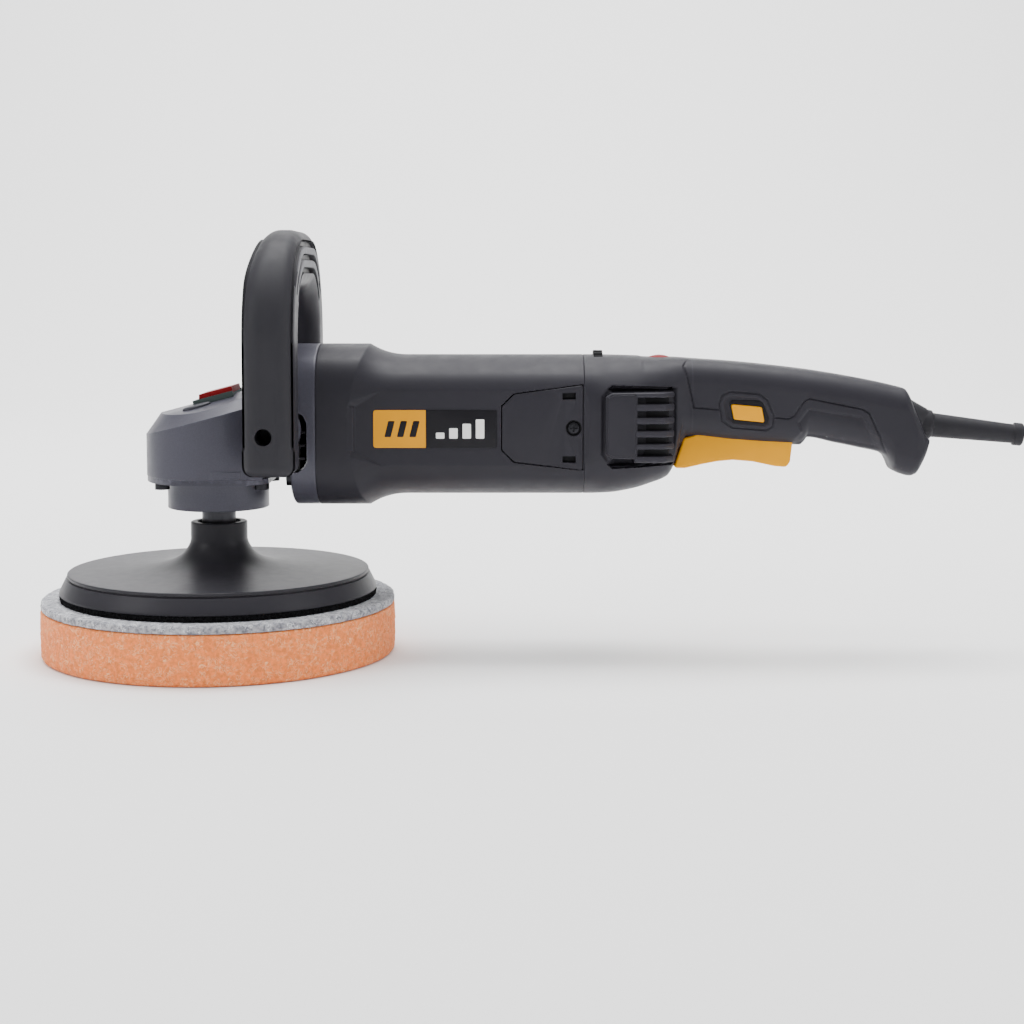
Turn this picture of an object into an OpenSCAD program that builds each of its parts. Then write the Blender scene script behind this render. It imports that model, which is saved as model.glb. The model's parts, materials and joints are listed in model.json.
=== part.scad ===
// Rotary polisher with a 180 mm foam pad, a D-shaped front handle and a trigger grip.
// The spindle stands on Z through the origin, the pad's working face lies on z = 0,
// and the motor's axis runs along +X towards the cord. The side with the plates is -Y.

/* [Pad] */
// Radius of the foam pad
pad_r = 90; // [86:1:95]
// Thickness of the foam
foam_h = 25; // [20:1:28]
// Thickness of the loop-faced layer bonded to the foam
felt_h = 4; // [2:0.5:5]
// Radius of the hook layer and of the backing plate's lower edge
hook_r = 80.5; // [76:0.5:84]
// Thickness of the hook layer
hook_h = 3; // [2:0.5:4]
// Radius of the backing plate's upper rim
rim_r = 76; // [70:0.5:78]
// Height of the upper rim above the plate's lower face
rim_h = 10.3; // [8:0.1:12]
// Radius of the backing plate's hub
hub_r = 14.4; // [13:0.1:16]

/* [Gear case] */
// Height of the motor's axis above the pad's face
motor_z = 117; // [117:0.5:118]
// Radius of the gear case round the spindle
case_r = 36; // [35:0.5:37]
// Radius of the bearing flange's round neck
neck_r = 25.7; // [24.5:0.1:26]
// Teeth of the crown gear
crown_teeth = 40; // [40:1:40]
// Teeth of the pinion
pinion_teeth = 8; // [8:1:8]

/* [Motor housing] */
// Radius of the wide front end
front_r = 41; // [40:0.5:42]
// Half width over the flat sides of the front end
front_half_w = 30.5; // [30:0.1:31]
// Radius of the barrel
barrel_r = 35.5; // [35:0.5:36]
// Half width over the flat sides of the barrel
barrel_half_w = 28; // [27.5:0.1:28.5]
// Wall of the plastic housings
wall = 3; // [2.5:0.1:3.2]

/* [Front handle] */
// Outer width over the two legs
loop_w = 146; // [144:1:148]
// Height of the loop's top above the pad's face
loop_top = 215; // [212:1:218]
// Size of the bar along X
bar_x = 25.2; // [25:0.1:26]
// Thickness of the bar, from its outer to its inner face
bar_t = 29; // [28:0.5:30]
// Outer radius of the loop's corners
loop_r = 54.5; // [50:0.5:56]

/* [Rear handle] */
// Clearance round the trigger and the buttons
gap = 0.4; // [0.3:0.05:0.5]
// Half width of the trigger
trigger_half_w = 12; // [11:0.5:12.5]
// Radius of the cord's hole in the sleeve
cord_r = 3.7; // [3.5:0.1:4]

/* [Hidden] */
$fn = 64;
felt_z = foam_h;
hook_z = felt_z + felt_h;
plate_z = hook_z + hook_h;
rim_z = plate_z + rim_h;
hub_z = 67;               // top of the hub, where the spindle's collar seats
neck_z = 74.5;            // underside of the bearing flange
flange_z = 88.3;          // underside of the flange's plate
case_z = 91.5;            // lower edge of the gear case
pivot = [246, 113];       // trigger pivot, X and Z
loop_x = 22.2;            // front face of the front handle
loop_z = 96.7;            // underside of its end blocks
bolt = [33, 116];         // handle bolt, X and Z
seam_x = 53;              // gear case to motor housing
rear_x = 186.5;           // motor housing to rear housing
grip_x = 241;             // rear housing to rear handle
roof_tilt = 14.7;         // slope of the gear case's top
sleeve_tilt = 6.2;        // droop of the cord sleeve
lock_r = 11.8;            // distance of the lock pin from the spindle
lock_a = 60;              // and its bearing, counted from +X

// Rear housing sections: X, top, bottom, half width, corner radius.
rear_sections = [
    [186.5, 152.5, 81.5, 31, 29], [200, 152.4, 82.1, 31, 28], [211, 152.0, 84.2, 30, 26],
    [221, 151.0, 87.5, 26, 21], [233, 150.7, 94.2, 20.5, 15], [241, 150.3, 111.3, 18.5, 12]
];
// Rear handle sections: X, top, bottom, half width, corner radius.
grip_sections = [
    [241, 150.3, 110.8, 18, 11], [262, 149.0, 108.8, 18.5, 12], [297, 145.3, 106.6, 18, 12],
    [300, 144.9, 110.8, 18, 12], [327, 140.4, 105.2, 17, 12], [338, 138.0, 102.6, 17, 12],
    [344, 136.8, 95.5, 16.5, 12], [347, 136.1, 92.4, 16.5, 12], [354.3, 131, 90.8, 16, 10],
    [357.6, 121.8, 95.2, 15.5, 10], [361.6, 110.4, 105.4, 14, 2.4]
];

// ---- shared shapes ----

// Turns +Z into +X, at height z.
module along_x(x, z = motor_z) translate([x, 0, z]) rotate([0, 90, 0]) children();

module tube(r_out, r_in, h) difference() {
    cylinder(r = r_out, h = h);
    translate([0, 0, -1]) cylinder(r = r_in, h = h + 2);
}

module both_sides() {
    children();
    mirror([0, 1, 0]) children();
}

// A plate with its outline in X and Z, from |Y| = y0 out to |Y| = y1 on the -Y side.
module side_plate(points, y0, y1)
    translate([0, -y0, 0]) rotate([90, 0, 0]) linear_extrude(y1 - y0) polygon(points);

// Round bar along X with its two sides cut flat.
module flat_sided_bar(r, half_w, x0, x1) intersection() {
    along_x(x0) cylinder(r = r, h = x1 - x0, $fn = 96);
    translate([x0, -half_w, motor_z - r]) cube([x1 - x0, 2 * half_w, 2 * r]);
}

// Part of a tube round the motor's axis, between two angles counted from +Y.
module ring_sector(r_in, r_out, x0, x1, a0, a1)
    translate([x0, 0, motor_z]) rotate([90, 0, 90]) rotate([0, 0, a0])
        rotate_extrude(angle = a1 - a0)
            translate([r_in, 0]) square([r_out - r_in, x1 - x0]);

// Rounded rectangle with true arcs.
module rounded_rect(w, h, r) {
    square([w - 2 * r, h], center = true);
    square([w, h - 2 * r], center = true);
    for (x = [-1, 1], y = [-1, 1])
        translate([x * (w / 2 - r), y * (h / 2 - r)]) circle(r);
}

// Thin slice of a housing at one section, shrunk by t all round.
module slice(s, t) {
    r = max(s[4] - t, 1);
    for (y = [-1, 1], z = [s[1] - t - r, s[2] + t + r])
        translate([s[0], y * (s[3] - t - r), z])
            rotate([0, 90, 0]) cylinder(r = r, h = 0.01, $fn = 32);
}

module loft(sections, t = 0)
    for (i = [1 : len(sections) - 1]) hull() {
        slice(sections[i - 1], t);
        slice(sections[i], t);
    }

function helix_point(r, pitch, a) = [r * cos(a), r * sin(a), pitch * a / 360];
function ring_points(r, wire, pitch, a, sides) = [
    for (j = [0 : sides - 1])
        helix_point(r + wire * cos(360 * j / sides), pitch, a)
        + [0, 0, wire * sin(360 * j / sides)]
];

// Coil spring standing on z = 0.
module coil_spring(r, wire, h, turns, sides = 6, steps = 14) {
    pitch = (h - 2 * wire) / turns;
    n = turns * steps;
    rings = [for (i = [0 : n]) each ring_points(r, wire, pitch, 360 * i / steps, sides)];
    skin = [for (i = [0 : n - 1], j = [0 : sides - 1])
        let (k = (j + 1) % sides)
            [i * sides + j, i * sides + k, (i + 1) * sides + k, (i + 1) * sides + j]];
    first = [for (j = [sides - 1 : -1 : 0]) j];
    last = [for (j = [0 : sides - 1]) n * sides + j];
    translate([0, 0, wire]) polyhedron(rings, concat([first], skin, [last]), convexity = 8);
}

// ---- pad and backing plate ----

module pad_foam() color("sandybrown") {
    edge = 1.5;
    rotate_extrude($fn = 160)
        polygon([[0, 0], [pad_r - edge, 0], [pad_r, edge], [pad_r, foam_h], [0, foam_h]]);
}

module pad_felt() color("darkgray")
    translate([0, 0, felt_z]) cylinder(r = pad_r, h = felt_h, $fn = 160);

module hook_layer() color("black")
    translate([0, 0, hook_z]) tube(hook_r, 9, hook_h, $fn = 128);

// Upper surface of the plate: a flare that falls away from the hub as 1 / distance.
function flare_z(r) = rim_z + 100 / (r - 8.3) - 100 / (rim_r - 8.3);
insert_z = 46;
insert_r = 10.8;
insert_h = 18;
thread_r = 7;

module backing_plate() color("dimgray") rotate_extrude($fn = 128) {
    flare = [for (r = [hub_r : (rim_r - hub_r) / 24 : rim_r - 0.4]) [r, flare_z(r)]];
    bore_r = 8.5;
    polygon(concat(
        [[bore_r, plate_z], [hook_r, plate_z], [hook_r, plate_z + 1.2],
         [rim_r + 1, rim_z - 2.2], [rim_r + 0.5, rim_z - 1.6], [rim_r + 0.5, rim_z - 0.5],
         [rim_r, rim_z]],
        [for (i = [len(flare) - 1 : -1 : 0]) flare[i]],
        [[hub_r, hub_z - 0.6], [hub_r - 0.6, hub_z], [insert_r + 0.2, hub_z],
         [insert_r, hub_z - 1], [insert_r, insert_z], [bore_r, insert_z]]));
}

module plate_insert() color("silver")
    translate([0, 0, insert_z]) tube(insert_r, thread_r, insert_h);

// ---- spindle and gears ----

journal_r = 7.5;
bearing_z = 79;
bearing_h = 11;
shoulder_top = 105;
gear_top = 114.5;
bush_z = 116.6;
bush_h = 6;
tip_r = 4.5;
key_z = shoulder_top + 1;

module key_block()
    translate([journal_r - 1.9, -2, key_z]) cube([2.9, 4, 5]);

module spindle() color("silver") difference() {
    rotate_extrude() polygon([
        [0, 47], [thread_r - 1, 47], [thread_r, 48], [thread_r, insert_z + insert_h],
        [thread_r, hub_z - 2.8], [8.6, hub_z - 2.8], [8.6, 76],
        [8.3, bearing_z - 0.05], [journal_r, bearing_z - 0.05],
        [journal_r, bearing_z + bearing_h + 0.2], [10.5, bearing_z + bearing_h + 0.2],
        [10.5, shoulder_top], [journal_r, shoulder_top], [journal_r, gear_top + 0.1],
        [journal_r - 0.6, gear_top + 0.1], [journal_r - 0.6, gear_top + 1.3],
        [journal_r, gear_top + 1.3], [journal_r, bush_z - 0.6], [tip_r, bush_z - 0.6],
        [tip_r, bush_z + bush_h - 0.4], [tip_r - 0.8, bush_z + bush_h + 0.4], [0, bush_z + bush_h + 0.4]
    ]);
    key_block();
}

module spindle_key() color("gray") key_block();

// Bevel pair: every size scales with the distance from the shared apex on both axes,
// and is given here at gear_ref from the spindle.
gear_ref = 24;
pinion_pitch = gear_ref * pinion_teeth / crown_teeth;
tooth_top = pinion_pitch - 0.9;
tooth_root = pinion_pitch + 1.3;
tooth_in = 18;
tooth_out = 27;

function tooth_section(r) = let (k = r / gear_ref) [
    [r, -1.32 * k, -tooth_root * k - 0.4], [r, 1.32 * k, -tooth_root * k - 0.4],
    [r, 0.44 * k, -tooth_top * k], [r, -0.44 * k, -tooth_top * k]
];

module crown_tooth() polyhedron(
    concat(tooth_section(tooth_in), tooth_section(tooth_out)),
    [[0, 1, 2, 3], [7, 6, 5, 4], [0, 4, 5, 1], [1, 5, 6, 2], [2, 6, 7, 3], [3, 7, 4, 0]]);

module crown_gear() color("slategray") {
    web_top = 110.5;
    root = tooth_root / gear_ref;
    difference() {
        rotate_extrude($fn = 96) polygon([
            [journal_r, shoulder_top], [tooth_out + 0.6, shoulder_top],
            [tooth_out + 0.6, motor_z - root * (tooth_out + 0.6)],
            [tooth_in - 1, motor_z - root * (tooth_in - 1)], [tooth_in - 2, web_top],
            [8.5, web_top], [8.5, gear_top], [journal_r, gear_top]
        ]);
        for (i = [0 : 7]) rotate([0, 0, lock_a + 45 * i])
            translate([lock_r, 0, shoulder_top - 1]) cylinder(r = 2.8, h = 10);
        key_block();
    }
    translate([0, 0, motor_z]) for (i = [0 : crown_teeth - 1])
        rotate([0, 0, (i + 0.5) * 360 / crown_teeth]) crown_tooth();
}

module gear_circlip() color("gray") difference() {
    translate([0, 0, gear_top + 0.1]) tube(8.9, journal_r - 0.6, 1.2);
    translate([4, -1.6, gear_top - 1]) cube([8, 3.2, 4]);
}

module pinion() color("slategray") {
    // one tooth's half outline at gear_ref: radius and half thickness
    half = [[3.3, 0.8], [pinion_pitch, 0.6], [5.7, 0.28]];
    flank = concat(half, [for (i = [2 : -1 : 0]) [half[i][0], -half[i][1]]]);
    k = tooth_out / gear_ref;
    face = tooth_out - tooth_in;
    difference() {
        union() {
            translate([tooth_out, 0, motor_z]) rotate([0, -90, 0])
                linear_extrude(face, scale = tooth_in / tooth_out) union() {
                    circle(r = 3.5 * k, $fn = 48);
                    for (i = [0 : pinion_teeth - 1]) rotate(360 * i / pinion_teeth)
                        polygon(flank * k);
                }
            along_x(tooth_out) cylinder(r = 6.2, h = 6);
        }
        along_x(24) cylinder(r = 2.2, h = 12);
    }
}

module spindle_seal() color("black")
    translate([0, 0, 75.4]) tube(13, 8.65, 3.2);

module lower_bearing() color("silver") difference() {
    translate([0, 0, bearing_z]) tube(17.5, journal_r + 0.03, bearing_h);
    translate([0, 0, bearing_z + bearing_h - 0.8]) tube(14.6, 10.6, 2);
}

module upper_bush() color("silver")
    translate([0, 0, bush_z]) tube(7, tip_r + 0.03, bush_h);

screw_spots = [for (x = [-25, 25], y = [-20, 20]) [x, y]];

module bearing_flange() color("gray") difference() {
    union() {
        translate([0, 0, flange_z]) cylinder(r = case_r, h = case_z - flange_z, $fn = 96);
        translate([0, -front_half_w + 0.5, flange_z])
            cube([37.5, 2 * front_half_w - 1, case_z - flange_z]);
        translate([0, 0, neck_z]) cylinder(r = neck_r, h = flange_z - neck_z + 1, $fn = 96);
        translate([0, 0, flange_z]) cylinder(r = 27, h = 6);
    }
    translate([0, 0, bearing_z]) cylinder(r = 17.5, h = 20);
    translate([0, 0, 75.4]) cylinder(r = 13, h = 5);
    translate([0, 0, neck_z - 1]) cylinder(r = 9.3, h = 5);
    for (p = screw_spots) translate([p[0], p[1], flange_z - 1]) cylinder(r = 2, h = 12);
    // key slot in the side of the neck
    translate([-neck_r - 1, -6, 75.5]) cube([3, 7, 7]);
}

module flange_screws() color("black") for (p = screw_spots) translate([p[0], p[1], 0]) {
    translate([0, 0, flange_z]) cylinder(r = 2, h = 11);
    difference() {
        translate([0, 0, flange_z - 2.8]) cylinder(r = 3.7, h = 2.8);
        translate([0, 0, flange_z - 3.8]) cylinder(r = 1.7, h = 2.6, $fn = 6);
    }
}

// ---- gear case ----

// Height of the gear case's sloping top at X.
function roof_z(x) = 130.4 + x * tan(roof_tilt);

// Body of the case, shrunk by t. The open lower edge stays where it is.
module case_body(t) hull() {
    translate([0, 0, case_z]) cylinder(r = case_r - t, h = 20.5 - t, $fn = 48);
    translate([0, 0, roof_z(0)]) rotate([0, -roof_tilt, 0])
        translate([0, 0, -1 - t]) cylinder(r = 27.5 - t, h = 1, $fn = 48);
    for (y = [-1, 1]) {
        translate([30, y * (29.5 - t - 5), case_z]) cylinder(r = 5, h = 30 - t, $fn = 24);
        translate([30, y * (20 - t), roof_z(30) - t - 1]) cylinder(r = 4, h = 1, $fn = 24);
    }
}

module case_shoulder(t) hull() {
    translate([30, -26 + t, case_z - 3 + t]) cube([1, 52 - 2 * t, 46 - 2 * t]);
    flat_sided_bar(front_r - t, front_half_w - t, 38, 39);
}

gear_screw_spots = [for (y = [-1, 1], z = [-1, 1]) [y * 23.5, z * 25]];

module gear_case() color("gray") difference() {
    union() {
        difference() {
            union() {
                case_body(0);
                case_shoulder(0);
                flat_sided_bar(front_r, front_half_w, 38, seam_x);
                both_sides() translate([bolt[0], bar_t - loop_half, bolt[1]])
                    rotate([-90, 0, 0]) cylinder(r = 10.5, h = 22);
            }
            case_body(3.5);
            case_shoulder(3.5);
            flat_sided_bar(36, 26.5, 38, seam_x + 1);
            translate([0, 0, case_z - 4]) cylinder(r = 27.05, h = 8, $fn = 96);
        }
        // roof boss that holds the upper bush
        translate([0, 0, bush_z]) cylinder(r = 9, h = roof_z(-9) - bush_z - 1);
        // guide of the lock pin, with the pocket of its spring
        at_lock(lock_z - 4.4) cylinder(r = 5.6, h = 8);
        // pads for the flange screws, joined to the side walls
        intersection() {
            for (p = screw_spots) translate([p[0], p[1], case_z]) {
                cylinder(r = 4.5, h = 12);
                translate([-4.5, p[1] > 0 ? 0 : -12, 0]) cube([9, 12, 12]);
            }
            case_body(1);
        }
        // inner bosses of the handle bolts
        both_sides() translate([bolt[0], -30, bolt[1]]) rotate([-90, 0, 0])
            cylinder(r = 7, h = 9);
        for (p = gear_screw_spots) along_x(41, motor_z + p[1]) translate([0, p[0], 0])
            cylinder(r = 5, h = seam_x - 41);
    }
    translate([0, 0, bush_z - 1]) cylinder(r = 7, h = bush_h + 2);
    at_lock(lock_z - 5) cylinder(r = 2.6, h = 20);
    at_lock(lock_z) cylinder(r = 4.1, h = 12);
    for (p = screw_spots) translate([p[0], p[1], case_z - 1]) cylinder(r = 2, h = 9);
    both_sides() translate([bolt[0], -45, bolt[1]]) rotate([-90, 0, 0]) cylinder(r = 2.5, h = 23);
    // screw channels from the front, and the holes behind them
    for (p = gear_screw_spots) along_x(20, motor_z + p[1]) translate([0, p[0], 0]) {
        cylinder(r = 4.6, h = 22);
        cylinder(r = 2.5, h = 40);
    }
    // air outlets behind the handle legs
    both_sides() translate([44.4, -front_half_w - 1, 96]) cube([5, 6, 28]);
    // seat of the lock base, and the well the button sinks into
    on_roof() translate([-10.2, -16.2, -1.2]) cube([21, 32.4, 9]);
    on_roof() translate([-8.5, -14, -2.6]) cube([19.2, 28, 9]);
    // clears the flange's plate
    translate([-50, -50, case_z - 10]) cube([88, 100, 10]);
}

module gear_case_screws() color("dimgray")
    for (p = gear_screw_spots) along_x(0, motor_z + p[1]) translate([0, p[0], 0]) {
        translate([0, 0, 42]) cylinder(r = 2.5, h = 30);
        difference() {
            translate([0, 0, 38]) cylinder(r = 4.2, h = 4);
            translate([0, 0, 37]) cylinder(r = 1.8, h = 3, $fn = 6);
        }
    }

module bearing_plate() color("silver") difference() {
    flat_sided_bar(35.9, 26.4, 45, seam_x);
    along_x(44) cylinder(r = 8, h = 10);
    along_x(45.9) cylinder(r = 13, h = 8);
    for (p = gear_screw_spots) along_x(44, motor_z + p[1]) translate([0, p[0], 0])
        cylinder(r = 5, h = 12);
    // air outlets beside the bearing
    for (z = [-1, 1]) translate([44, -8, motor_z + z * 24 - 4]) cube([12, 16, 8]);
}

module front_bearing() color("silver") along_x(45.9) tube(13, 5.03, 7);

// ---- spindle lock ----

lock_z = 125.4;           // floor of the lock spring's pocket
lock_spring_h = 6.5;

module at_lock(z) rotate([0, 0, lock_a]) translate([lock_r, 0, z]) children();

module on_roof() translate([0, 0, roof_z(0)]) rotate([0, -roof_tilt, 0]) children();

module lock_base() color("darkslategray") difference() {
    on_roof() translate([-10, -16, -1.2]) cube([20.6, 32, 2.9]);
    // opening for the button
    translate([-7.6, -14, 115]) cube([17.6, 28, 40]);
}

module lock_button() color("firebrick") {
    intersection() {
        on_roof() difference() {
            translate([-9, -13.6, 0.9]) cube([19.5, 27.2, 3.1]);
            // sloping front edge
            translate([-9, -14, 2.2]) rotate([0, -50, 0]) translate([-6, 0, 0]) cube([6, 28, 8]);
        }
        translate([-7.2, -13.6, 120]) cube([16.8, 27.2, 30]);
    }
    at_lock(111.3) cylinder(r = 2.5, h = 22);
    at_lock(lock_z + lock_spring_h) cylinder(r = 3.6, h = 1.8);
}

module lock_spring() color("silver")
    at_lock(lock_z) coil_spring(3.3, 0.3, lock_spring_h, 3);

// ---- front handle ----

loop_half = loop_w / 2;
bar_mid = bar_t / 2;              // from the outer face to the bar's centre line
corner_y = loop_half - loop_r;
corner_z = loop_top - loop_r;

// Sweeps a 2-D section along the loop. Its X is the object's X from the bar's front face,
// and its Y is the depth below the outer face.
module loop_sweep(z0 = loop_z) {
    // legs
    for (s = [-1, 1]) translate([loop_x, s * loop_half, z0])
        mirror([0, s > 0 ? 1 : 0, 0]) linear_extrude(corner_z - z0 + 0.001) children();
    // top bar
    translate([loop_x, corner_y, loop_top]) rotate([90, 0, 0])
        mirror([0, 1, 0]) linear_extrude(2 * corner_y) children();
    // corners
    for (s = [-1, 1]) translate([loop_x, s * corner_y, corner_z])
        mirror([0, s > 0 ? 0 : 1, 0]) rotate([0, 90, 0])
            rotate([0, 0, 90]) rotate_extrude(angle = 90, $fn = 96)
                translate([loop_r, 0]) rotate(90) children();
}

module bar_section() translate([bar_x / 2, bar_mid]) rounded_rect(bar_x, bar_t, 9);

module bar_hollow() translate([bar_x / 2, 16.8]) rounded_rect(bar_x - 8, 16.4, 5);

// the grip band wraps the outer side of the bar
module band_section(t = 0) translate([-1, -1]) square([bar_x + 2, band_depth + 1 + t]);

band_z = 109;
band_depth = 5.35;

module loop_shell() difference() {
    loop_sweep() bar_section();
    loop_sweep(loop_z + 26) bar_hollow();
    loop_sweep(band_z) band_section(0);
    both_sides() translate([bolt[0], -80, bolt[1]]) rotate([-90, 0, 0]) {
        cylinder(r = 4.5, h = 33);
        cylinder(r = 2.5, h = 45);
    }
    // rounds the end blocks
    for (s = [-1, 1]) translate([loop_x - 1, s * loop_half, loop_z]) difference() {
        translate([0, -6, -1]) cube([bar_x + 2, 12, 7]);
        translate([-1, -s * 6, 6]) rotate([0, 90, 0]) cylinder(r = 6, h = bar_x + 4);
        translate([-1, s > 0 ? -20 : 6, -1]) cube([bar_x + 4, 14, 8]);
    }
}

split_x = loop_x + bar_x / 2;

module handle_front_shell() color("dimgray") intersection() {
    loop_shell();
    translate([split_x - 30, -loop_w, 90]) cube([30, 2 * loop_w, 130]);
}

// Grip grooves in the rear face of the top bar, by their depth below the outer face.
module rear_grooves() intersection() {
    for (d = [6.75, 13.4, 20])
        loop_sweep() translate([bar_x - 2.4, d - 1.4]) square([4, 2.8]);
    translate([loop_x, -loop_w, 196]) cube([bar_x + 4, 2 * loop_w, 30]);
}

module handle_rear_shell() color("dimgray") difference() {
    intersection() {
        loop_shell();
        translate([split_x, -loop_w, 90]) cube([30, 2 * loop_w, 130]);
    }
    rear_grooves();
}

module handle_band() color("dimgray") difference() {
    intersection() {
        loop_sweep(band_z) band_section(-0.15);
        loop_sweep() bar_section();
    }
    both_sides() translate([bolt[0], -80, bolt[1]]) rotate([-90, 0, 0]) cylinder(r = 4.5, h = 33);
}

module handle_bolts() color("gray") both_sides()
    translate([bolt[0], 0, bolt[1]]) rotate([90, 0, 0]) {
        translate([0, 0, 24]) cylinder(r = 2.5, h = 23);
        difference() {
            translate([0, 0, 47]) cylinder(r = 4.3, h = 5);
            translate([0, 0, 49.5]) cylinder(r = 2.2, h = 4, $fn = 6);
        }
    }

// ---- armature ----

core_r = 20;
core_x = 95;
core_l = 45;
slots = 12;

module winding_bars() for (i = [0 : slots - 1]) along_x(core_x) rotate([0, 0, 360 * i / slots])
    translate([11, -1.6, 0]) cube([7.6, 3.2, core_l]);

module armature_shaft() color("silver") along_x(0) rotate_extrude() polygon([
    [0, 24.5], [2.2, 24.5], [2.2, 33.2], [5, 33.2], [5, 57], [6, 57], [6, 170],
    [4, 170], [4, 180], [3.4, 180.6], [0, 180.6]
]);

module armature_core() color("slategray") difference() {
    along_x(core_x) tube(core_r, 6, core_l);
    winding_bars();
    for (i = [0 : slots - 1]) along_x(core_x - 1) rotate([0, 0, 360 * i / slots])
        translate([18, -0.8, 0]) cube([4, 1.6, core_l + 2]);
}

module armature_windings() color("chocolate") {
    winding_bars();
    for (x = [core_x - 8, core_x + core_l]) along_x(x) rotate_extrude() polygon([
        [7, 0], [16, 0], [18.6, 2.5], [18.6, 5.5], [16, 8], [7, 8]
    ]);
}

module commutator() color("peru") difference() {
    along_x(152) tube(13, 6, 15);
    for (i = [0 : 2 * slots - 1]) along_x(151) rotate([0, 0, 360 * (i + 0.5) / (2 * slots)])
        translate([12, -0.3, 0]) cube([2, 0.6, 17]);
}

module cooling_fan() color("whitesmoke") {
    fan_r = 27;
    along_x(59) {
        tube(fan_r, 6, 1.8);
        tube(10, 6, 11);
        for (i = [0 : 10]) rotate([0, 0, 360 * i / 11]) translate([9, -0.8, 1])
            cube([fan_r - 9.5, 1.6, 9]);
    }
}

// ---- motor housing ----

flare_end_x = 100;
cover_screw_x = 181.1;
cover_points = [
    [145.3, 105.7], [152.4, 99.6], [rear_x - 0.5, 95.8], [rear_x - 0.5, 138.4],
    [159.8, 134.6], [151.2, 133.6], [145.3, 128]
];
panel_points = [
    [72.4, 105.5], [91, 95.2], [rear_x, 95.2], [rear_x, 138.8], [91, 138.8], [72.4, 127.8]
];

// Cosine blend of the radius from the front end down to the barrel.
function flare_r(x, x0, r0, x1, r1) = r0 + (r1 - r0) * (1 - cos(180 * (x - x0) / (x1 - x0))) / 2;

module housing_outer() intersection() {
    along_x(0) rotate_extrude($fn = 96) polygon(concat(
        [[0, seam_x], [front_r, seam_x], [front_r, 78.5]],
        [for (x = [80.5 : 3.25 : flare_end_x]) [flare_r(x, 74.5, front_r, flare_end_x, barrel_r), x]],
        [[barrel_r, rear_x], [0, rear_x]]));
    // plan view of the two flat sides
    translate([0, 0, 60]) linear_extrude(120) polygon([
        [seam_x, -front_half_w], [67, -front_half_w], [74, -29.2], [rear_x, -29.2],
        [rear_x, 29.2], [74, 29.2], [67, front_half_w], [seam_x, front_half_w]
    ]);
}

module motor_housing() color("dimgray") difference() {
    union() {
        difference() {
            housing_outer();
            flat_sided_bar(38, front_half_w - wall, seam_x - 1, 77);
        }
        for (p = gear_screw_spots) along_x(seam_x, motor_z + p[1]) translate([0, p[0], 0])
            cylinder(r = 4.6, h = 24.5);
    }
    for (p = gear_screw_spots) along_x(seam_x - 1, motor_z + p[1]) translate([0, p[0], 0])
        cylinder(r = 2.5, h = 20);
    both_sides() side_plate(panel_points, barrel_half_w, 40);
    flat_sided_bar(barrel_r - wall, barrel_half_w - wall, 76, 168);
    flat_sided_bar(barrel_r - wall, barrel_half_w - wall, 184.5, rear_x + 1);
    along_x(167) cylinder(r = 9, h = 10);
    along_x(171.5) cylinder(r = 11, h = 14);
    for (z = [-22, 22]) along_x(160, motor_z + z) cylinder(r = 6.5, h = 30);
    for (y = [-1, 1], z = [-1, 1]) along_x(160, motor_z + 17 * z) translate([0, 17 * y, 0])
        cylinder(r = 2, h = 30);
    // seats and windows of the brush covers
    both_sides() side_plate(cover_points, 26.2, 40);
    both_sides() translate([149, -30, 105]) cube([18, 8, 24]);
    both_sides() translate([cover_screw_x, -30, motor_z]) rotate([-90, 0, 0]) cylinder(r = 1.4, h = 12);
}

module fan_baffle() color("gray") difference() {
    flat_sided_bar(37.8, 27.2, 72.5, 75);
    along_x(70) cylinder(r = 22, h = 10);
    for (p = gear_screw_spots) along_x(70, motor_z + p[1]) translate([0, p[0], 0])
        cylinder(r = 5.2, h = 10);
}

coil_angles = [31, 124, 211, 304];

module coil_slots() for (a = coil_angles) ring_sector(18, 27.5, 90.5, 144, a, a + 25);

module stator_core() color("slategray") difference() {
    flat_sided_bar(32, 24.7, 92.5, 142);
    along_x(90) cylinder(r = 20.6, h = 60);
    coil_slots();
}

module field_coils() color("chocolate") {
    for (a = [31, 211], x = [86, 142]) ring_sector(21.2, 27.3, x, x + 6.5, a, a + 118);
    for (a = coil_angles) ring_sector(21.6, 26.9, 91, 143.5, a + 1, a + 24);
}

module rear_bearing() color("silver") along_x(171.8) tube(11, 4.03, 7);

// ---- brushes ----

brush_x = 159;
brush_l = 7;

module brush_holders() color("goldenrod") both_sides() difference() {
    translate([brush_x - 6, -24.8, motor_z - 7]) cube([12, 10.4, 14]);
    translate([brush_x - 3.2, -26, motor_z - 4.6]) cube([6.4, 14, 9.2]);
}

module carbon_brushes() color("black") both_sides()
    translate([brush_x - 3.1, -13.06 - brush_l, motor_z - 4.5]) cube([6.2, brush_l, 9]);

module brush_springs() color("silver") both_sides()
    translate([brush_x, -20.1, motor_z]) rotate([90, 0, 0]) coil_spring(2.5, 0.3, 4.6, 3);

module brush_covers() color("dimgray") both_sides() difference() {
    side_plate(cover_points, 26.2, barrel_half_w);
    translate([cover_screw_x, -30, motor_z]) rotate([-90, 0, 0]) {
        cylinder(r = 1.6, h = 8);
        cylinder(r = 3.9, h = 3.1);
    }
    for (z = [101.2, 132.7]) translate([175.5, -30, z - 1.7]) cube([6.7, 2.6, 3.4]);
}

module brush_cover_screws() color("gray") both_sides()
    translate([cover_screw_x, -28, motor_z]) rotate([-90, 0, 0]) {
        translate([0, 0, 1]) cylinder(r = 1.4, h = 8);
        difference() {
            translate([0, 0, 0.2]) cylinder(r = 3.7, h = 0.9);
            for (a = [0, 90]) rotate([0, 0, a]) translate([-2.2, -0.4, -1]) cube([4.4, 0.8, 1.6]);
        }
    }

plate_t = 0.4;

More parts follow.
